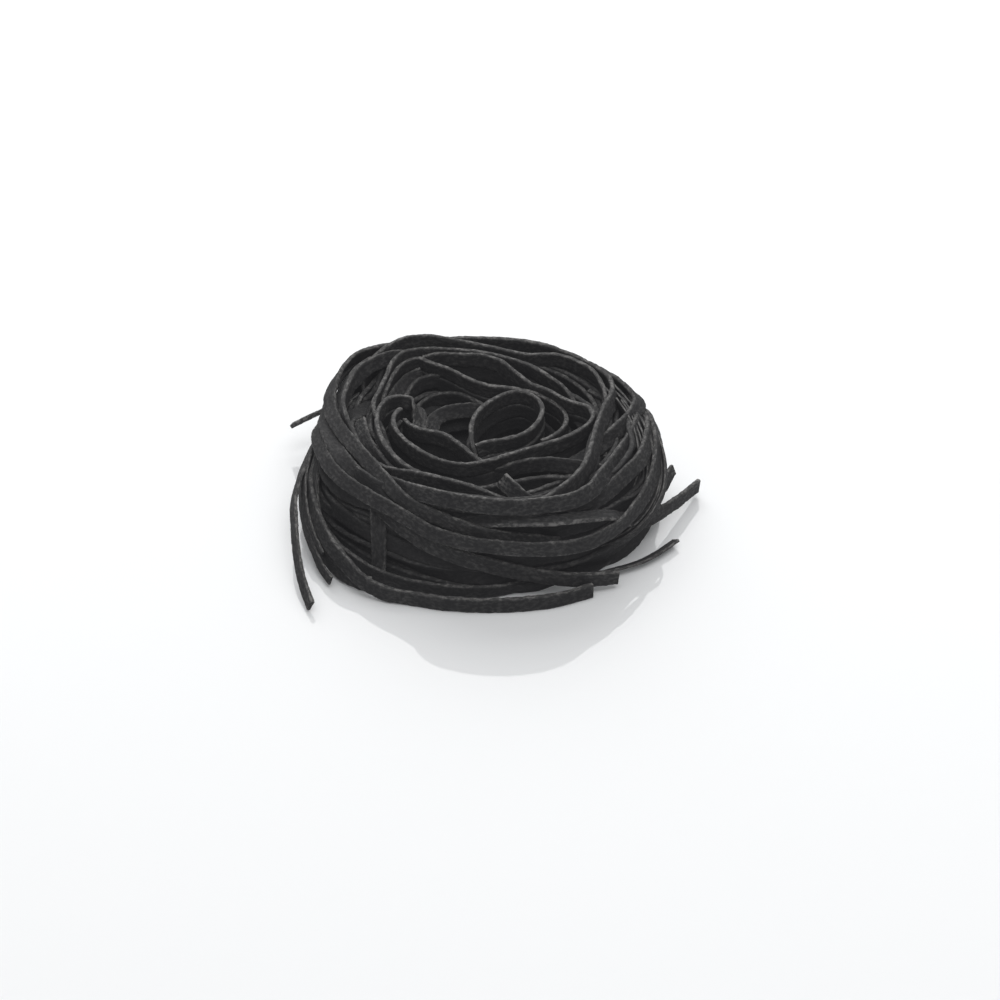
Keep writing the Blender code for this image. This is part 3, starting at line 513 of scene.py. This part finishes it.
# %% Find the balls that overlap
REACH_CELLS = [(i, j, k) for i in (0, 1) for j in (-1, 0, 1) for k in (-1, 0, 1)
               if (i, j, k) >= (0, 0, 0)]


def close_pairs(balls, reach):
    """Every pair of balls nearer than reach, found cell by cell on a grid."""
    cell = np.floor(balls / reach).astype(np.int64)
    cell -= cell.min(axis=0) - 1
    span = cell.max(axis=0) + 2
    key = (cell[:, 0] * span[1] + cell[:, 1]) * span[2] + cell[:, 2]
    order = np.argsort(key, kind="stable")
    ordered = key[order]
    pairs = []
    for i, j, k in REACH_CELLS:
        wanted = key + (i * span[1] + j) * span[2] + k
        start = np.searchsorted(ordered, wanted, side="left")
        count = np.searchsorted(ordered, wanted, side="right") - start
        first = np.repeat(np.arange(len(balls)), count)
        within = np.arange(count.sum()) - np.repeat(np.cumsum(count) - count, count)
        second = order[np.repeat(start, count) + within]
        once = (first < second) | ((i, j, k) != (0, 0, 0))
        pairs.append(np.stack([first, second])[:, once])
    first, second = np.concatenate(pairs, axis=1)
    gap = balls[second] - balls[first]
    near = (gap ** 2).sum(axis=1) < reach ** 2
    return first[near], second[near]


# %% [markdown]
# Under everything lies a smaller solid, so that no light leaks through: a dish, as (radius,
# height) from its middle out over the rim and back along the floor.  The ribbons that a rule made
# stay inside the side, behind the drawn ribbons, and under a roof, which sinks over a small cave
# at the back left.

# %% Settle
CORE_OUTLINE = np.array([(0, 6.9), (11, 7.1), (15, 8.6), (18.5, 10.8), (21, 12), (23.2, 12),
                         (25.2, 10.6), (26.6, 7.8), (27, 5), (26, 2.4), (24, 1.6), (0, 1.6)])
CORE_CLEAR, BALL_FLOOR = 0.45, 0.5
SIDE_CLEAR, COVER_CLEAR = 0.9, 1.25
COVER_TURN, COVER_DEPTH, LEVELS = 3.0, 4.8, 30
COVER_ROWS = np.array([-1.55, -0.8, 0.0, 0.8, 1.55])
ROOF_RADII, ROOF_HEIGHTS = (0, 8, 14, 20, 26, 32), (9.2, 9.4, 11.2, 14.6, 18.0, 19.0)
FRONT_ROOF_DROP = 1.6
CAVE_BEARING, CAVE_HALF_WIDTH = 145.0, 20.0
CAVE_DEPTH, CAVE_RADIUS = 3.4, 31.5
SUNK_STATIONS, SUNK_STEP = 6, 0.35
ROUNDS = 160
SEARCH_EVERY, SEARCH_MARGIN = 4, 0.35
OWN_GAP, SETTLE = 6, 0.01
PUSH_MOST, PUSH_STRENGTH = 0.5, 1.6
free = hold < 0.005
rule_made = hold < 0.05
ends = np.minimum(station - np.searchsorted(strand, strand, side="left"),
                  np.searchsorted(strand, strand, side="right") - 1 - station)
roofed = rule_made & (owner != "under_ribbons")
sunk = (owner == "crater_turns") & (ends < SUNK_STATIONS)
clear_of_core = rule_made & ~sunk
middle[sunk, 2] -= SUNK_STEP * (SUNK_STATIONS - ends[sunk])


def cover_turn(bearing):
    return ((bearing + 180.0) / COVER_TURN).astype(int) % int(360 / COVER_TURN)


def drawn_cover():
    """Least radius of the drawn ribbons outside, for steps of bearing and height."""
    drawn = np.isin(owner, ("rim", "side_bands", "loose_ends"))
    rows = middle[drawn][:, None] + COVER_ROWS[None, :, None] * across[drawn][:, None]
    x, y, z = rows.reshape(-1, 3).T
    radius = np.hypot(x, y)
    cover = np.full((int(360 / COVER_TURN), LEVELS), 99.0)
    bearing = np.degrees(np.arctan2(y, x))
    side_row = np.repeat(owner[drawn] == "side_bands", len(COVER_ROWS))
    near = ((z < 17.0) | side_row) & (radius > side_radius(z, bearing) - COVER_DEPTH)
    np.minimum.at(cover, (cover_turn(bearing[near]), z[near].astype(int)), radius[near])
    for axis in (0, 1):
        cover = np.minimum(cover, np.minimum(np.roll(cover, 1, axis), np.roll(cover, -1, axis)))
    return cover


cover = drawn_cover()
fine = owner == "fine_strands"
ball_station = np.repeat(station, 3)
ball_row = np.tile(BALL_ROWS, len(station))
ball_strand = strand[ball_station]
ball_weight = weight[ball_station]
first_middle, first_across = middle.copy(), across.copy()


def smooth(values):
    return (values[before] + 2 * values + values[after]) / 4


def off_core(radius, z):
    """How far, and which way, balls in or close to the core have to go."""
    nearest = np.full(len(radius), 1e9)
    away = np.zeros((len(radius), 2))
    odd = np.zeros(len(radius), bool)
    place = np.stack([radius, z], axis=1)
    for start, end in zip(CORE_OUTLINE, np.roll(CORE_OUTLINE, -1, axis=0)):
        side = end - start
        if side[0] == 0:
            continue
        share = np.clip((place - start) @ side / (side @ side), 0.0, 1.0)
        gap = place - start - share[:, None] * side
        distance = np.linalg.norm(gap, axis=1)
        closer = distance < nearest
        nearest = np.where(closer, distance, nearest)
        away[closer] = gap[closer]
        rises = (start[1] > z) != (end[1] > z)
        if side[1] != 0:
            odd ^= rises & (radius < start[0] + (z - start[1]) / side[1] * side[0])
    signed = np.where(odd, -nearest, nearest)
    need = np.clip(CORE_CLEAR - signed, 0.0, PUSH_MOST)
    way = away / np.maximum(nearest, 1e-6)[:, None] * np.where(odd, -1.0, 1.0)[:, None]
    return need[:, None] * way


def keep_inside(balls, pushes):
    """Push the rule's balls inside the outline, above the floor and off the core."""
    x, y, z = balls.T
    radius = np.hypot(x, y)
    bearing = np.degrees(np.arctan2(y, x))
    flat = np.stack([x, y], axis=1) / np.maximum(radius, 1e-6)[:, None]
    most = side_radius(z, bearing) - SIDE_CLEAR - 0.8 * hollow(bearing, z)
    behind = cover[cover_turn(bearing), np.clip(z, 0, LEVELS - 1).astype(int)] - COVER_CLEAR
    most = np.minimum(most, np.maximum(behind, 24.0))
    over = np.clip(radius - most, 0.0, 2.0) * rule_made[ball_station]
    pushes[:, :2] -= 0.5 * over[:, None] * flat
    roof = np.interp(radius, ROOF_RADII, ROOF_HEIGHTS)
    roof -= FRONT_ROOF_DROP * front_share(bearing) * (radius > 17.0)
    cave = np.exp(-((bearing - CAVE_BEARING) / CAVE_HALF_WIDTH) ** 2) * (radius < CAVE_RADIUS)
    roof -= CAVE_DEPTH * cave * np.clip((radius - 20.0) / 5.0, 0.0, 1.0)
    pushes[:, 2] -= 0.5 * np.clip(z - roof, 0.0, 2.0) * roofed[ball_station]
    pushes[:, 2] += np.clip(BALL_FLOOR - z, 0.0, 2.0)
    off = off_core(radius, z) * clear_of_core[ball_station][:, None]
    pushes[:, :2] += off[:, :1] * flat
    pushes[:, 2] += off[:, 1]


for turn in range(ROUNDS):
    balls = middle[ball_station] + ball_row[:, None] * across[ball_station]
    if turn % SEARCH_EVERY == 0:
        first, second = close_pairs(balls, BALL_REACH + SEARCH_MARGIN)
        apart = ball_strand[first] != ball_strand[second]
        apart |= np.abs(ball_station[first] - ball_station[second]) > OWN_GAP
        apart &= ~(fine[ball_station[first]] | fine[ball_station[second]])
        first, second = first[apart], second[apart]
    gap = balls[second] - balls[first]
    distance = np.maximum(np.linalg.norm(gap, axis=1), 1e-6)
    depth = np.clip(BALL_REACH - distance, 0.0, PUSH_MOST)
    push = gap / distance[:, None] * depth[:, None]
    total = ball_weight[first] + ball_weight[second]
    pushes = np.zeros_like(balls)
    touching = np.ones(len(balls))
    for end, share, sign in ((first, ball_weight[second] / total, -1.0),
                             (second, ball_weight[first] / total, 1.0)):
        for axis in range(3):
            pushes[:, axis] += sign * np.bincount(end, share * push[:, axis], len(balls))
        touching += np.bincount(end, depth > 0, len(balls))
    pushes *= PUSH_STRENGTH / np.sqrt(touching)[:, None]
    keep_inside(balls, pushes)
    moved = pushes.reshape(-1, 3, 3)
    middle += moved.mean(axis=1)
    middle[:, 2] -= SETTLE * free
    across = across + (moved[:, 2] - moved[:, 0]) / (BALL_ROWS[2] - BALL_ROWS[0])
    shift = smooth(smooth(middle - first_middle)) * (1.0 - hold)[:, None]
    middle = first_middle + shift
    turned = smooth(smooth(across - first_across)) * (1.0 - 0.5 * hold)[:, None]
    ahead = unit(middle[after] - middle[before])
    across = first_across + turned
    across = unit(across - (across * ahead).sum(axis=1)[:, None] * ahead)
    if turn % 40 == 0 or turn == ROUNDS - 1:
        print(f"round {turn}: {int((depth > 0.3).sum())} deep contacts, "
              f"deepest {depth.max():.2f} mm")

# %% [markdown]
# ## One ribbon from a line
# A noodle is a line with a section swept along it, which is what Curve to Mesh does.  The lines
# are chains of edges, because those can carry values into the tree: which way the ribbon faces,
# how far along it a point is, and the noodle's shade.

# %% The ribbon's section
CORNER, FACE_DIP = 0.30, 0.05


def section_outline():
    """A rounded oblong, a little hollow on its wide faces, as dough is after it dries."""
    half_thick, half_wide = RIBBON_THICKNESS / 2, RIBBON_WIDTH / 2
    outline = []
    for side_x, side_y, start in ((1, 1, 0), (-1, 1, 90), (-1, -1, 180), (1, -1, 270)):
        for angle in (start, start + 45, start + 90):
            turn = math.radians(angle)
            outline.append((side_x * (half_thick - CORNER) + CORNER * math.cos(turn),
                            side_y * (half_wide - CORNER) + CORNER * math.sin(turn)))
        if side_x * side_y < 0:
            # the next side is a wide one: three more points across it
            for share in (0.5, 0.0, -0.5):
                dip = FACE_DIP * (1 - share ** 2)
                outline.append((side_x * (half_thick - dip), side_y * share * half_wide))
    return outline


section_mesh = bpy.data.meshes.new("ribbon_section")
outline = section_outline()
section_mesh.from_pydata([(x * MM, y * MM, 0.0) for x, y in outline],
                         [(i, (i + 1) % len(outline)) for i in range(len(outline))], [])
section = put("ribbon_section", section_mesh)
print("section:", len(outline), "points")

# %% [markdown]
# ## The ribbon tree
# One tree makes every ribbon.  It sweeps the section, remembers for each point where it lies in
# the noodle, and then roughens it: slow swells along it, and a ragged edge, as cut dough has.

# %% Build the tree
def add(tree, kind, values=None, **settings):
    """A new node, with a value or a link for each input that is named."""
    node = tree.nodes.new(kind)
    for name, value in settings.items():
        setattr(node, name, value)
    for name, value in (values or {}).items():
        if isinstance(value, bpy.types.NodeSocket):
            tree.links.new(value, node.inputs[name])
        else:
            node.inputs[name].default_value = value
    return node


def math_node(tree, operation, *values):
    return add(tree, "ShaderNodeMath", dict(enumerate(values)), operation=operation).outputs[0]


def noise(tree, place, scale, detail, roughness=0.5):
    return add(tree, "ShaderNodeTexNoise", {"Vector": place, "Scale": scale, "Detail": detail,
                                            "Roughness": roughness}).outputs[0]


def read(tree, name, kind):
    return add(tree, "GeometryNodeInputNamedAttribute", {"Name": name},
               data_type=kind).outputs["Attribute"]


def store(tree, name, geometry, vector):
    return add(tree, "GeometryNodeStoreNamedAttribute",
               {"Geometry": geometry, "Name": name, "Value": vector},
               data_type="FLOAT_VECTOR").outputs["Geometry"]


def ribbon_tree():
    """The tree, and the identifier of each input that the modifier gives."""
    tree = bpy.data.node_groups.new("ribbon", "GeometryNodeTree")
    new_socket = tree.interface.new_socket
    new_socket("Lines", in_out="INPUT", socket_type="NodeSocketGeometry")
    inputs = {name: new_socket(name, in_out="INPUT", socket_type="NodeSocket" + kind).identifier
              for name, kind in (("Section", "Object"), ("Material", "Material"),
                                 ("Swell", "Float"), ("Ragged", "Float"))}
    new_socket("Ribbons", in_out="OUTPUT", socket_type="NodeSocketGeometry")
    start = add(tree, "NodeGroupInput").outputs
    calc = partial(math_node, tree)

    lines = add(tree, "GeometryNodeMeshToCurve", {"Mesh": start["Lines"]})
    facing = read(tree, "facing", "FLOAT_VECTOR")
    normals = add(tree, "GeometryNodeSetCurveNormal",
                  {"Curve": lines.outputs["Curve"], "Normal": facing}, mode="FREE")
    section_in = add(tree, "GeometryNodeObjectInfo", {"Object": start["Section"]})
    profile = add(tree, "GeometryNodeMeshToCurve", {"Mesh": section_in.outputs["Geometry"]})
    place = add(tree, "GeometryNodeInputPosition")
    profile = store(tree, "in_section", profile.outputs["Curve"], place.outputs[0])
    size = read(tree, "size", "FLOAT")
    sweep = add(tree, "GeometryNodeCurveToMesh",
                {"Curve": normals.outputs["Curve"], "Profile Curve": profile, "Scale": size,
                 "Fill Caps": True})

    # where a point lies in its noodle: along, across and through it, in millimetres
    inside = add(tree, "ShaderNodeSeparateXYZ", {0: read(tree, "in_section", "FLOAT_VECTOR")})
    grain = add(tree, "ShaderNodeCombineXYZ",
                {"X": read(tree, "along", "FLOAT"),
                 "Y": calc("MULTIPLY", inside.outputs["Y"], 1000.0),
                 "Z": calc("MULTIPLY", inside.outputs["X"], 1000.0)}).outputs[0]
    swept = store(tree, "grain", sweep.outputs["Mesh"], grain)

    # slow swells, then the ragged edge, stronger towards the two cut edges
    reach = calc("DIVIDE", calc("ABSOLUTE", inside.outputs["Y"]), RIBBON_WIDTH * MM / 2)
    edge = calc("POWER", reach, 4.0)
    rag = calc("SUBTRACT", noise(tree, grain, 0.9, 3.0, 0.7), 0.5)
    rag = calc("MULTIPLY", calc("MULTIPLY", rag, start["Ragged"]), calc("ADD", edge, 0.25))
    swell = calc("SUBTRACT", noise(tree, grain, 0.35, 1.0), 0.5)
    swell = calc("MULTIPLY", swell, start["Swell"])
    normal = add(tree, "GeometryNodeInputNormal")
    offset = add(tree, "ShaderNodeVectorMath",
                 {0: normal.outputs[0], "Scale": calc("MULTIPLY", calc("ADD", rag, swell), size)},
                 operation="SCALE")
    rough = add(tree, "GeometryNodeSetPosition", {"Geometry": swept, "Offset": offset.outputs[0]})
    rough = add(tree, "GeometryNodeSetShadeSmooth", {"Geometry": rough.outputs["Geometry"]})
    rough = add(tree, "GeometryNodeRealizeInstances", {"Geometry": rough.outputs["Geometry"]})
    coat = add(tree, "GeometryNodeSetMaterial",
               {"Geometry": rough.outputs["Geometry"], "Material": start["Material"]})
    add(tree, "NodeGroupOutput", {"Ribbons": coat.outputs["Geometry"]})
    return tree, inputs


tree, inputs = ribbon_tree()
print("tree:", len(tree.nodes), "nodes; inputs", sorted(inputs))

# %% [markdown]
# ## The finish
# Squid ink turns the dough a matt charcoal.  Drying leaves a fine bloom of flour on it, most on
# the edges, so the colour is a dark base with pale specks, faint streaks from the rollers, and
# lighter edges; part of that pale on the edges is a painted highlight, where the rounded edges
# catch the light.  The pattern reads where a point lies in its noodle, so it follows every bend.

# %% Material: black pasta
INK = (0.0125, 0.0125, 0.0135, 1)
DRY_INK = (0.0235, 0.0232, 0.0237, 1)
# the pale of the flour; it also paints the highlight on the edges and at some ends, and less of it
# paints the shade on the deep ribbons
FLOUR_AND_HIGHLIGHT_COLOR = (0.18, 0.176, 0.172, 1)


def new_material(name, values):
    material = bpy.data.materials.new(name)
    material.use_nodes = True
    shader = material.node_tree.nodes["Principled BSDF"]
    for label, value in values.items():
        shader.inputs[label].default_value = value
    return material, shader


def black_pasta():
    material, shader = new_material("black_pasta", {"Roughness": 0.78, "Specular IOR Level": 0.28})
    tree = material.node_tree
    calc = partial(math_node, tree)
    # the flour attribute holds flour, with painted shade on the deep ribbons and painted highlight
    # at some ends
    grain, tone, flour_shade_and_highlight = (add(tree, "ShaderNodeAttribute", attribute_name=name)
                         for name in ("grain", "tone", "flour"))
    grain = grain.outputs["Vector"]

    def stretched(scale):
        return add(tree, "ShaderNodeMapping", {"Vector": grain, "Scale": scale}).outputs[0]

    blotch = noise(tree, add(tree, "ShaderNodeTexCoord").outputs["Object"], 210.0, 3.0)
    streak = noise(tree, stretched((0.12, 2.2, 2.2)), 1.6, 3.0)
    # grains of flour, a little longer than wide, and the finest dust between them
    speck = noise(tree, stretched((0.75, 1.25, 1.25)), 1.35, 3.0, 0.62)

    across = add(tree, "ShaderNodeSeparateXYZ", {0: grain}).outputs["Y"]
    reach = calc("DIVIDE", calc("ABSOLUTE", across), RIBBON_WIDTH / 2)
    edge = calc("POWER", calc("MINIMUM", reach, 1.0), 8.0)

    mixed = calc("ADD", calc("MULTIPLY", blotch, 0.5), calc("MULTIPLY", streak, 0.5))
    mixed = calc("ADD", mixed, calc("MULTIPLY", tone.outputs["Fac"], 0.10))
    base = add(tree, "ShaderNodeValToRGB", {"Fac": mixed})
    for stop, position, color in zip(base.color_ramp.elements, (0.3, 0.75), (INK, DRY_INK)):
        stop.position, stop.color = position, color

    # the flour lies in patches and is thickest on the two edges; there part of the pale is painted
    # highlight
    flour = add(tree, "ShaderNodeMapRange", {"Value": speck, "From Min": 0.45, "From Max": 0.66})
    patch = add(tree, "ShaderNodeMapRange", {"Value": blotch, "From Min": 0.36, "From Max": 0.66,
                                             "To Min": 0.45, "To Max": 1.0})
    # more pale towards the edges: partly flour, partly a painted highlight on the rounded edges
    edge_flour_and_highlight = calc("ADD", 0.27, calc("MULTIPLY", edge, 0.84))
    flour_specks_and_edge_highlight = calc("MULTIPLY", calc("MULTIPLY", flour.outputs[0], edge_flour_and_highlight), patch.outputs[0])
    # a plain pale band on both edges: painted highlight where the rounded edges catch the light,
    # with some flour
    flour_and_edge_highlight = calc("ADD", flour_specks_and_edge_highlight, calc("MULTIPLY", edge, 0.20))
    # how much pale a point gets: flour and pale edges, painted shade on the deep ribbons, painted
    # highlight at some ends
    flour_and_painted_light = calc("MINIMUM", calc("MULTIPLY", flour_and_edge_highlight, flour_shade_and_highlight.outputs["Fac"]), 1.0)
    coat = add(tree, "ShaderNodeMix", {"Factor": flour_and_painted_light, "A": base.outputs["Color"],
                                       "B": FLOUR_AND_HIGHLIGHT_COLOR}, data_type="RGBA")
    tree.links.new(coat.outputs["Result"], shader.inputs["Base Color"])

    height = calc("ADD", calc("MULTIPLY", speck, 0.75), calc("MULTIPLY", streak, 0.25))
    bump = add(tree, "ShaderNodeBump", {"Strength": 0.7, "Distance": 0.00022, "Height": height})
    tree.links.new(bump.outputs[0], shader.inputs["Normal"])
    return material


pasta = black_pasta()
print("material:", pasta.name, len(pasta.node_tree.nodes), "nodes")

# %% [markdown]
# ## Sweep every group
# Each group becomes one piece of mesh.  The ribbons outside and the cut ends have more flour; the
# deep ribbons have less, which is painted shade in the recesses where they lie.  A few ends are
# paler still, a painted highlight where they catch the light: the table of pale ends says (how much,
# how far) from the route's first end, or from the great loop's last one.

# %% Ribbons
MESH_STEP = 0.6
SWELL, RAGGED = 0.30 * MM, 0.46 * MM
# pale per group; the lower values on the ribbons that lie deep are painted shade in the recesses
FLOUR_AND_SHADE = {"rim": 1.0, "crater_loops": 1.0, "side_bands": 1.0, "loose_ends": 1.15,
         "half_hidden": 0.8, "fine_strands": 1.3}
# the groups that lie deep under the drawn ribbons: little pale, as painted shade
HIDDEN_FLOUR_AND_SHADE = 0.42
END_FLOUR, END_REACH = 1.1, 0.9
# ends made paler where they catch the light: painted highlight
PAINTED_HIGHLIGHT_ENDS = {"curl": (1.3, 4.0), "raised_tip": (2.4, 2.0), "pale_end": (2.6, 4.0),
             "left_lining": (0.8, 6.0), "great_loop": (0.8, 2.5)}
NOODLE_GAP = 400.0
shade = np.random.default_rng(5)
drawn_names = [*RIM, *CRATER, *SIDE, *LOOSE_ENDS]
name_of = dict(enumerate([*drawn_names, *[""] * len(loop_walls), *HALF_HIDDEN]))
scale_of = [NARROW.get(name, 1.0) for name in drawn_names]
scale_of += [1.0] * (len(loop_walls) + len(HALF_HIDDEN)) + [*fine_sizes]
scale_of += [1.0] * (len(group_of) - len(scale_of))


def lines_of(name):
    """The settled middle lines of a group, as chains of edges that know which way they face."""
    points, edges, facing, along, tone, size, flour = [], [], [], [], [], [], []
    for index in (i for i, group in enumerate(group_of) if group == name):
        mine = strand == index
        rows = resample(np.hstack([middle[mine], across[mine]]), MESH_STEP)
        ahead = unit(np.gradient(rows[:, :3], axis=0))
        wide = unit(rows[:, 3:] - (rows[:, 3:] * ahead).sum(axis=1)[:, None] * ahead)
        first = len(points)
        points += list(rows[:, :3] * MM)
        edges += [(first + i, first + i + 1) for i in range(len(rows) - 1)]
        facing += list(np.cross(wide, ahead))
        steps = np.linalg.norm(np.diff(rows[:, :3], axis=0), axis=1)
        reached = np.concatenate([[0.0], np.cumsum(steps)])
        to_go = reached[-1] - reached
        along += list(reached + NOODLE_GAP * index)
        tone += [shade.uniform(-1.0, 1.0)] * len(rows)
        size += [shade.uniform(0.94, 1.05) * scale_of[index]] * len(rows)
        # pale per point: flour, less on the deep groups as painted shade, more at some ends as
        # painted highlight
        extra, reach = PAINTED_HIGHLIGHT_ENDS.get(name_of.get(index), (0.0, 1.0))
        from_end = to_go if name_of.get(index) == "great_loop" else reached
        flour += list(FLOUR_AND_SHADE.get(name, HIDDEN_FLOUR_AND_SHADE)
                      + END_FLOUR * np.exp(-np.minimum(reached, to_go) / END_REACH)
                      + extra * np.exp(-from_end / reach))
    mesh = bpy.data.meshes.new(name)
    mesh.from_pydata(points, edges, [])
    mesh.attributes.new("facing", "FLOAT_VECTOR", "POINT").data.foreach_set(
        "vector", np.array(facing, np.float32).ravel())
    for label, values in (("along", along), ("tone", tone), ("size", size), ("flour", flour)):
        mesh.attributes.new(label, "FLOAT", "POINT").data.foreach_set(
            "value", np.array(values, np.float32))
    return mesh


def plain(name, maker):
    """The plain mesh that an object's modifiers make, in the object's place."""
    bpy.context.view_layer.update()
    mesh = bpy.data.meshes.new_from_object(
        maker.evaluated_get(bpy.context.evaluated_depsgraph_get()))
    mesh.name = name
    bpy.data.objects.remove(maker)
    return put(name, mesh)


def sweep_group(name):
    lines = put(name + "_lines", lines_of(name))
    modifier = lines.modifiers.new("ribbon", "NODES")
    modifier.node_group = tree
    for identifier, value in zip(inputs.values(), (section, pasta, SWELL, RAGGED)):
        modifier[identifier] = value
    lines.update_tag()
    piece = plain(name, lines)
    triangles = sum(len(face.vertices) - 2 for face in piece.data.polygons)
    print(f"{name}: {triangles} triangles")
    return piece


pieces = [sweep_group(name) for name in groups]
bpy.data.objects.remove(section)

# %% [markdown]
# ## The core
# A Screw modifier turns the core's outline about the nest's axis.

# %% Core
core_line = bpy.data.meshes.new("core")
points = [(radius * MM, 0.0, height * MM) for radius, height in CORE_OUTLINE]
core_line.from_pydata(points, [(i, i + 1) for i in range(len(points) - 1)], [])
profile = put("core_profile", core_line)
screw = profile.modifiers.new("turn", "SCREW")
screw.steps = screw.render_steps = 96
screw.use_merge_vertices = True
screw.merge_threshold = 0.0001 * MM
screw.use_normal_calculate = True
core = plain("core", profile)
core.data.polygons.foreach_set("use_smooth", [True] * len(core.data.polygons))
core.data.materials.clear()
core.data.materials.append(pasta)
pieces.append(core)
for piece in pieces:
    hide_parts("pasta_nest")
    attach(piece, "root")
print("pieces:", [piece.name for piece in pieces])

# %% [markdown]
# ## Floor and light
# The nest lies on a glossy white table.  One large soft light stands behind it, where its mirror
# image in the table whitens the floor, and a weaker one hangs overhead in a white room.

# %% Floor, light, world
def area_light(name, watts, place, size):
    data = bpy.data.lights.new(name, "AREA")
    data.shape, data.energy = "RECTANGLE", watts
    data.size, data.size_y = size
    light = put(name, data)
    light.location = place
    light.rotation_euler = (aim - light.location).to_track_quat("-Z", "Y").to_euler()
    return light


white_table = new_material("white_table", {
    "Base Color": (0.86, 0.87, 0.88, 1), "Roughness": 0.04, "Specular IOR Level": 0.5,
    "Emission Color": (0.97, 0.99, 1.0, 1), "Emission Strength": 0.05})[0]
bpy.ops.mesh.primitive_plane_add(size=6.0)
floor = bpy.context.active_object
floor.name = floor.data.name = "floor"
floor.data.materials.append(white_table)

lights = [area_light("soft_light", 8.5, (-0.12, 0.92, 0.66), (1.3, 0.9)),
          area_light("overhead_light", 3.2, (0.12, -0.16, 0.85), (0.8, 0.8))]

world = bpy.data.worlds.new("white_room")
world.use_nodes = True
background = world.node_tree.nodes["Background"].inputs
background["Color"].default_value = (1.0, 1.0, 1.0, 1)
background["Strength"].default_value = 0.36
scene.world = world
view = scene.view_settings
view.view_transform = "Standard"
view.use_curve_mapping = True
view.curve_mapping.black_level = (-0.0095, -0.0095, -0.0102)
view.curve_mapping.update()
print("lights:", [(light.name, light.data.energy) for light in lights])

# %% [markdown]
# ## Update the scene
# The ribbons have to stay inside the imported solid's box, or within a few per cent of it.

# %% Update the scene
bpy.context.view_layer.update()
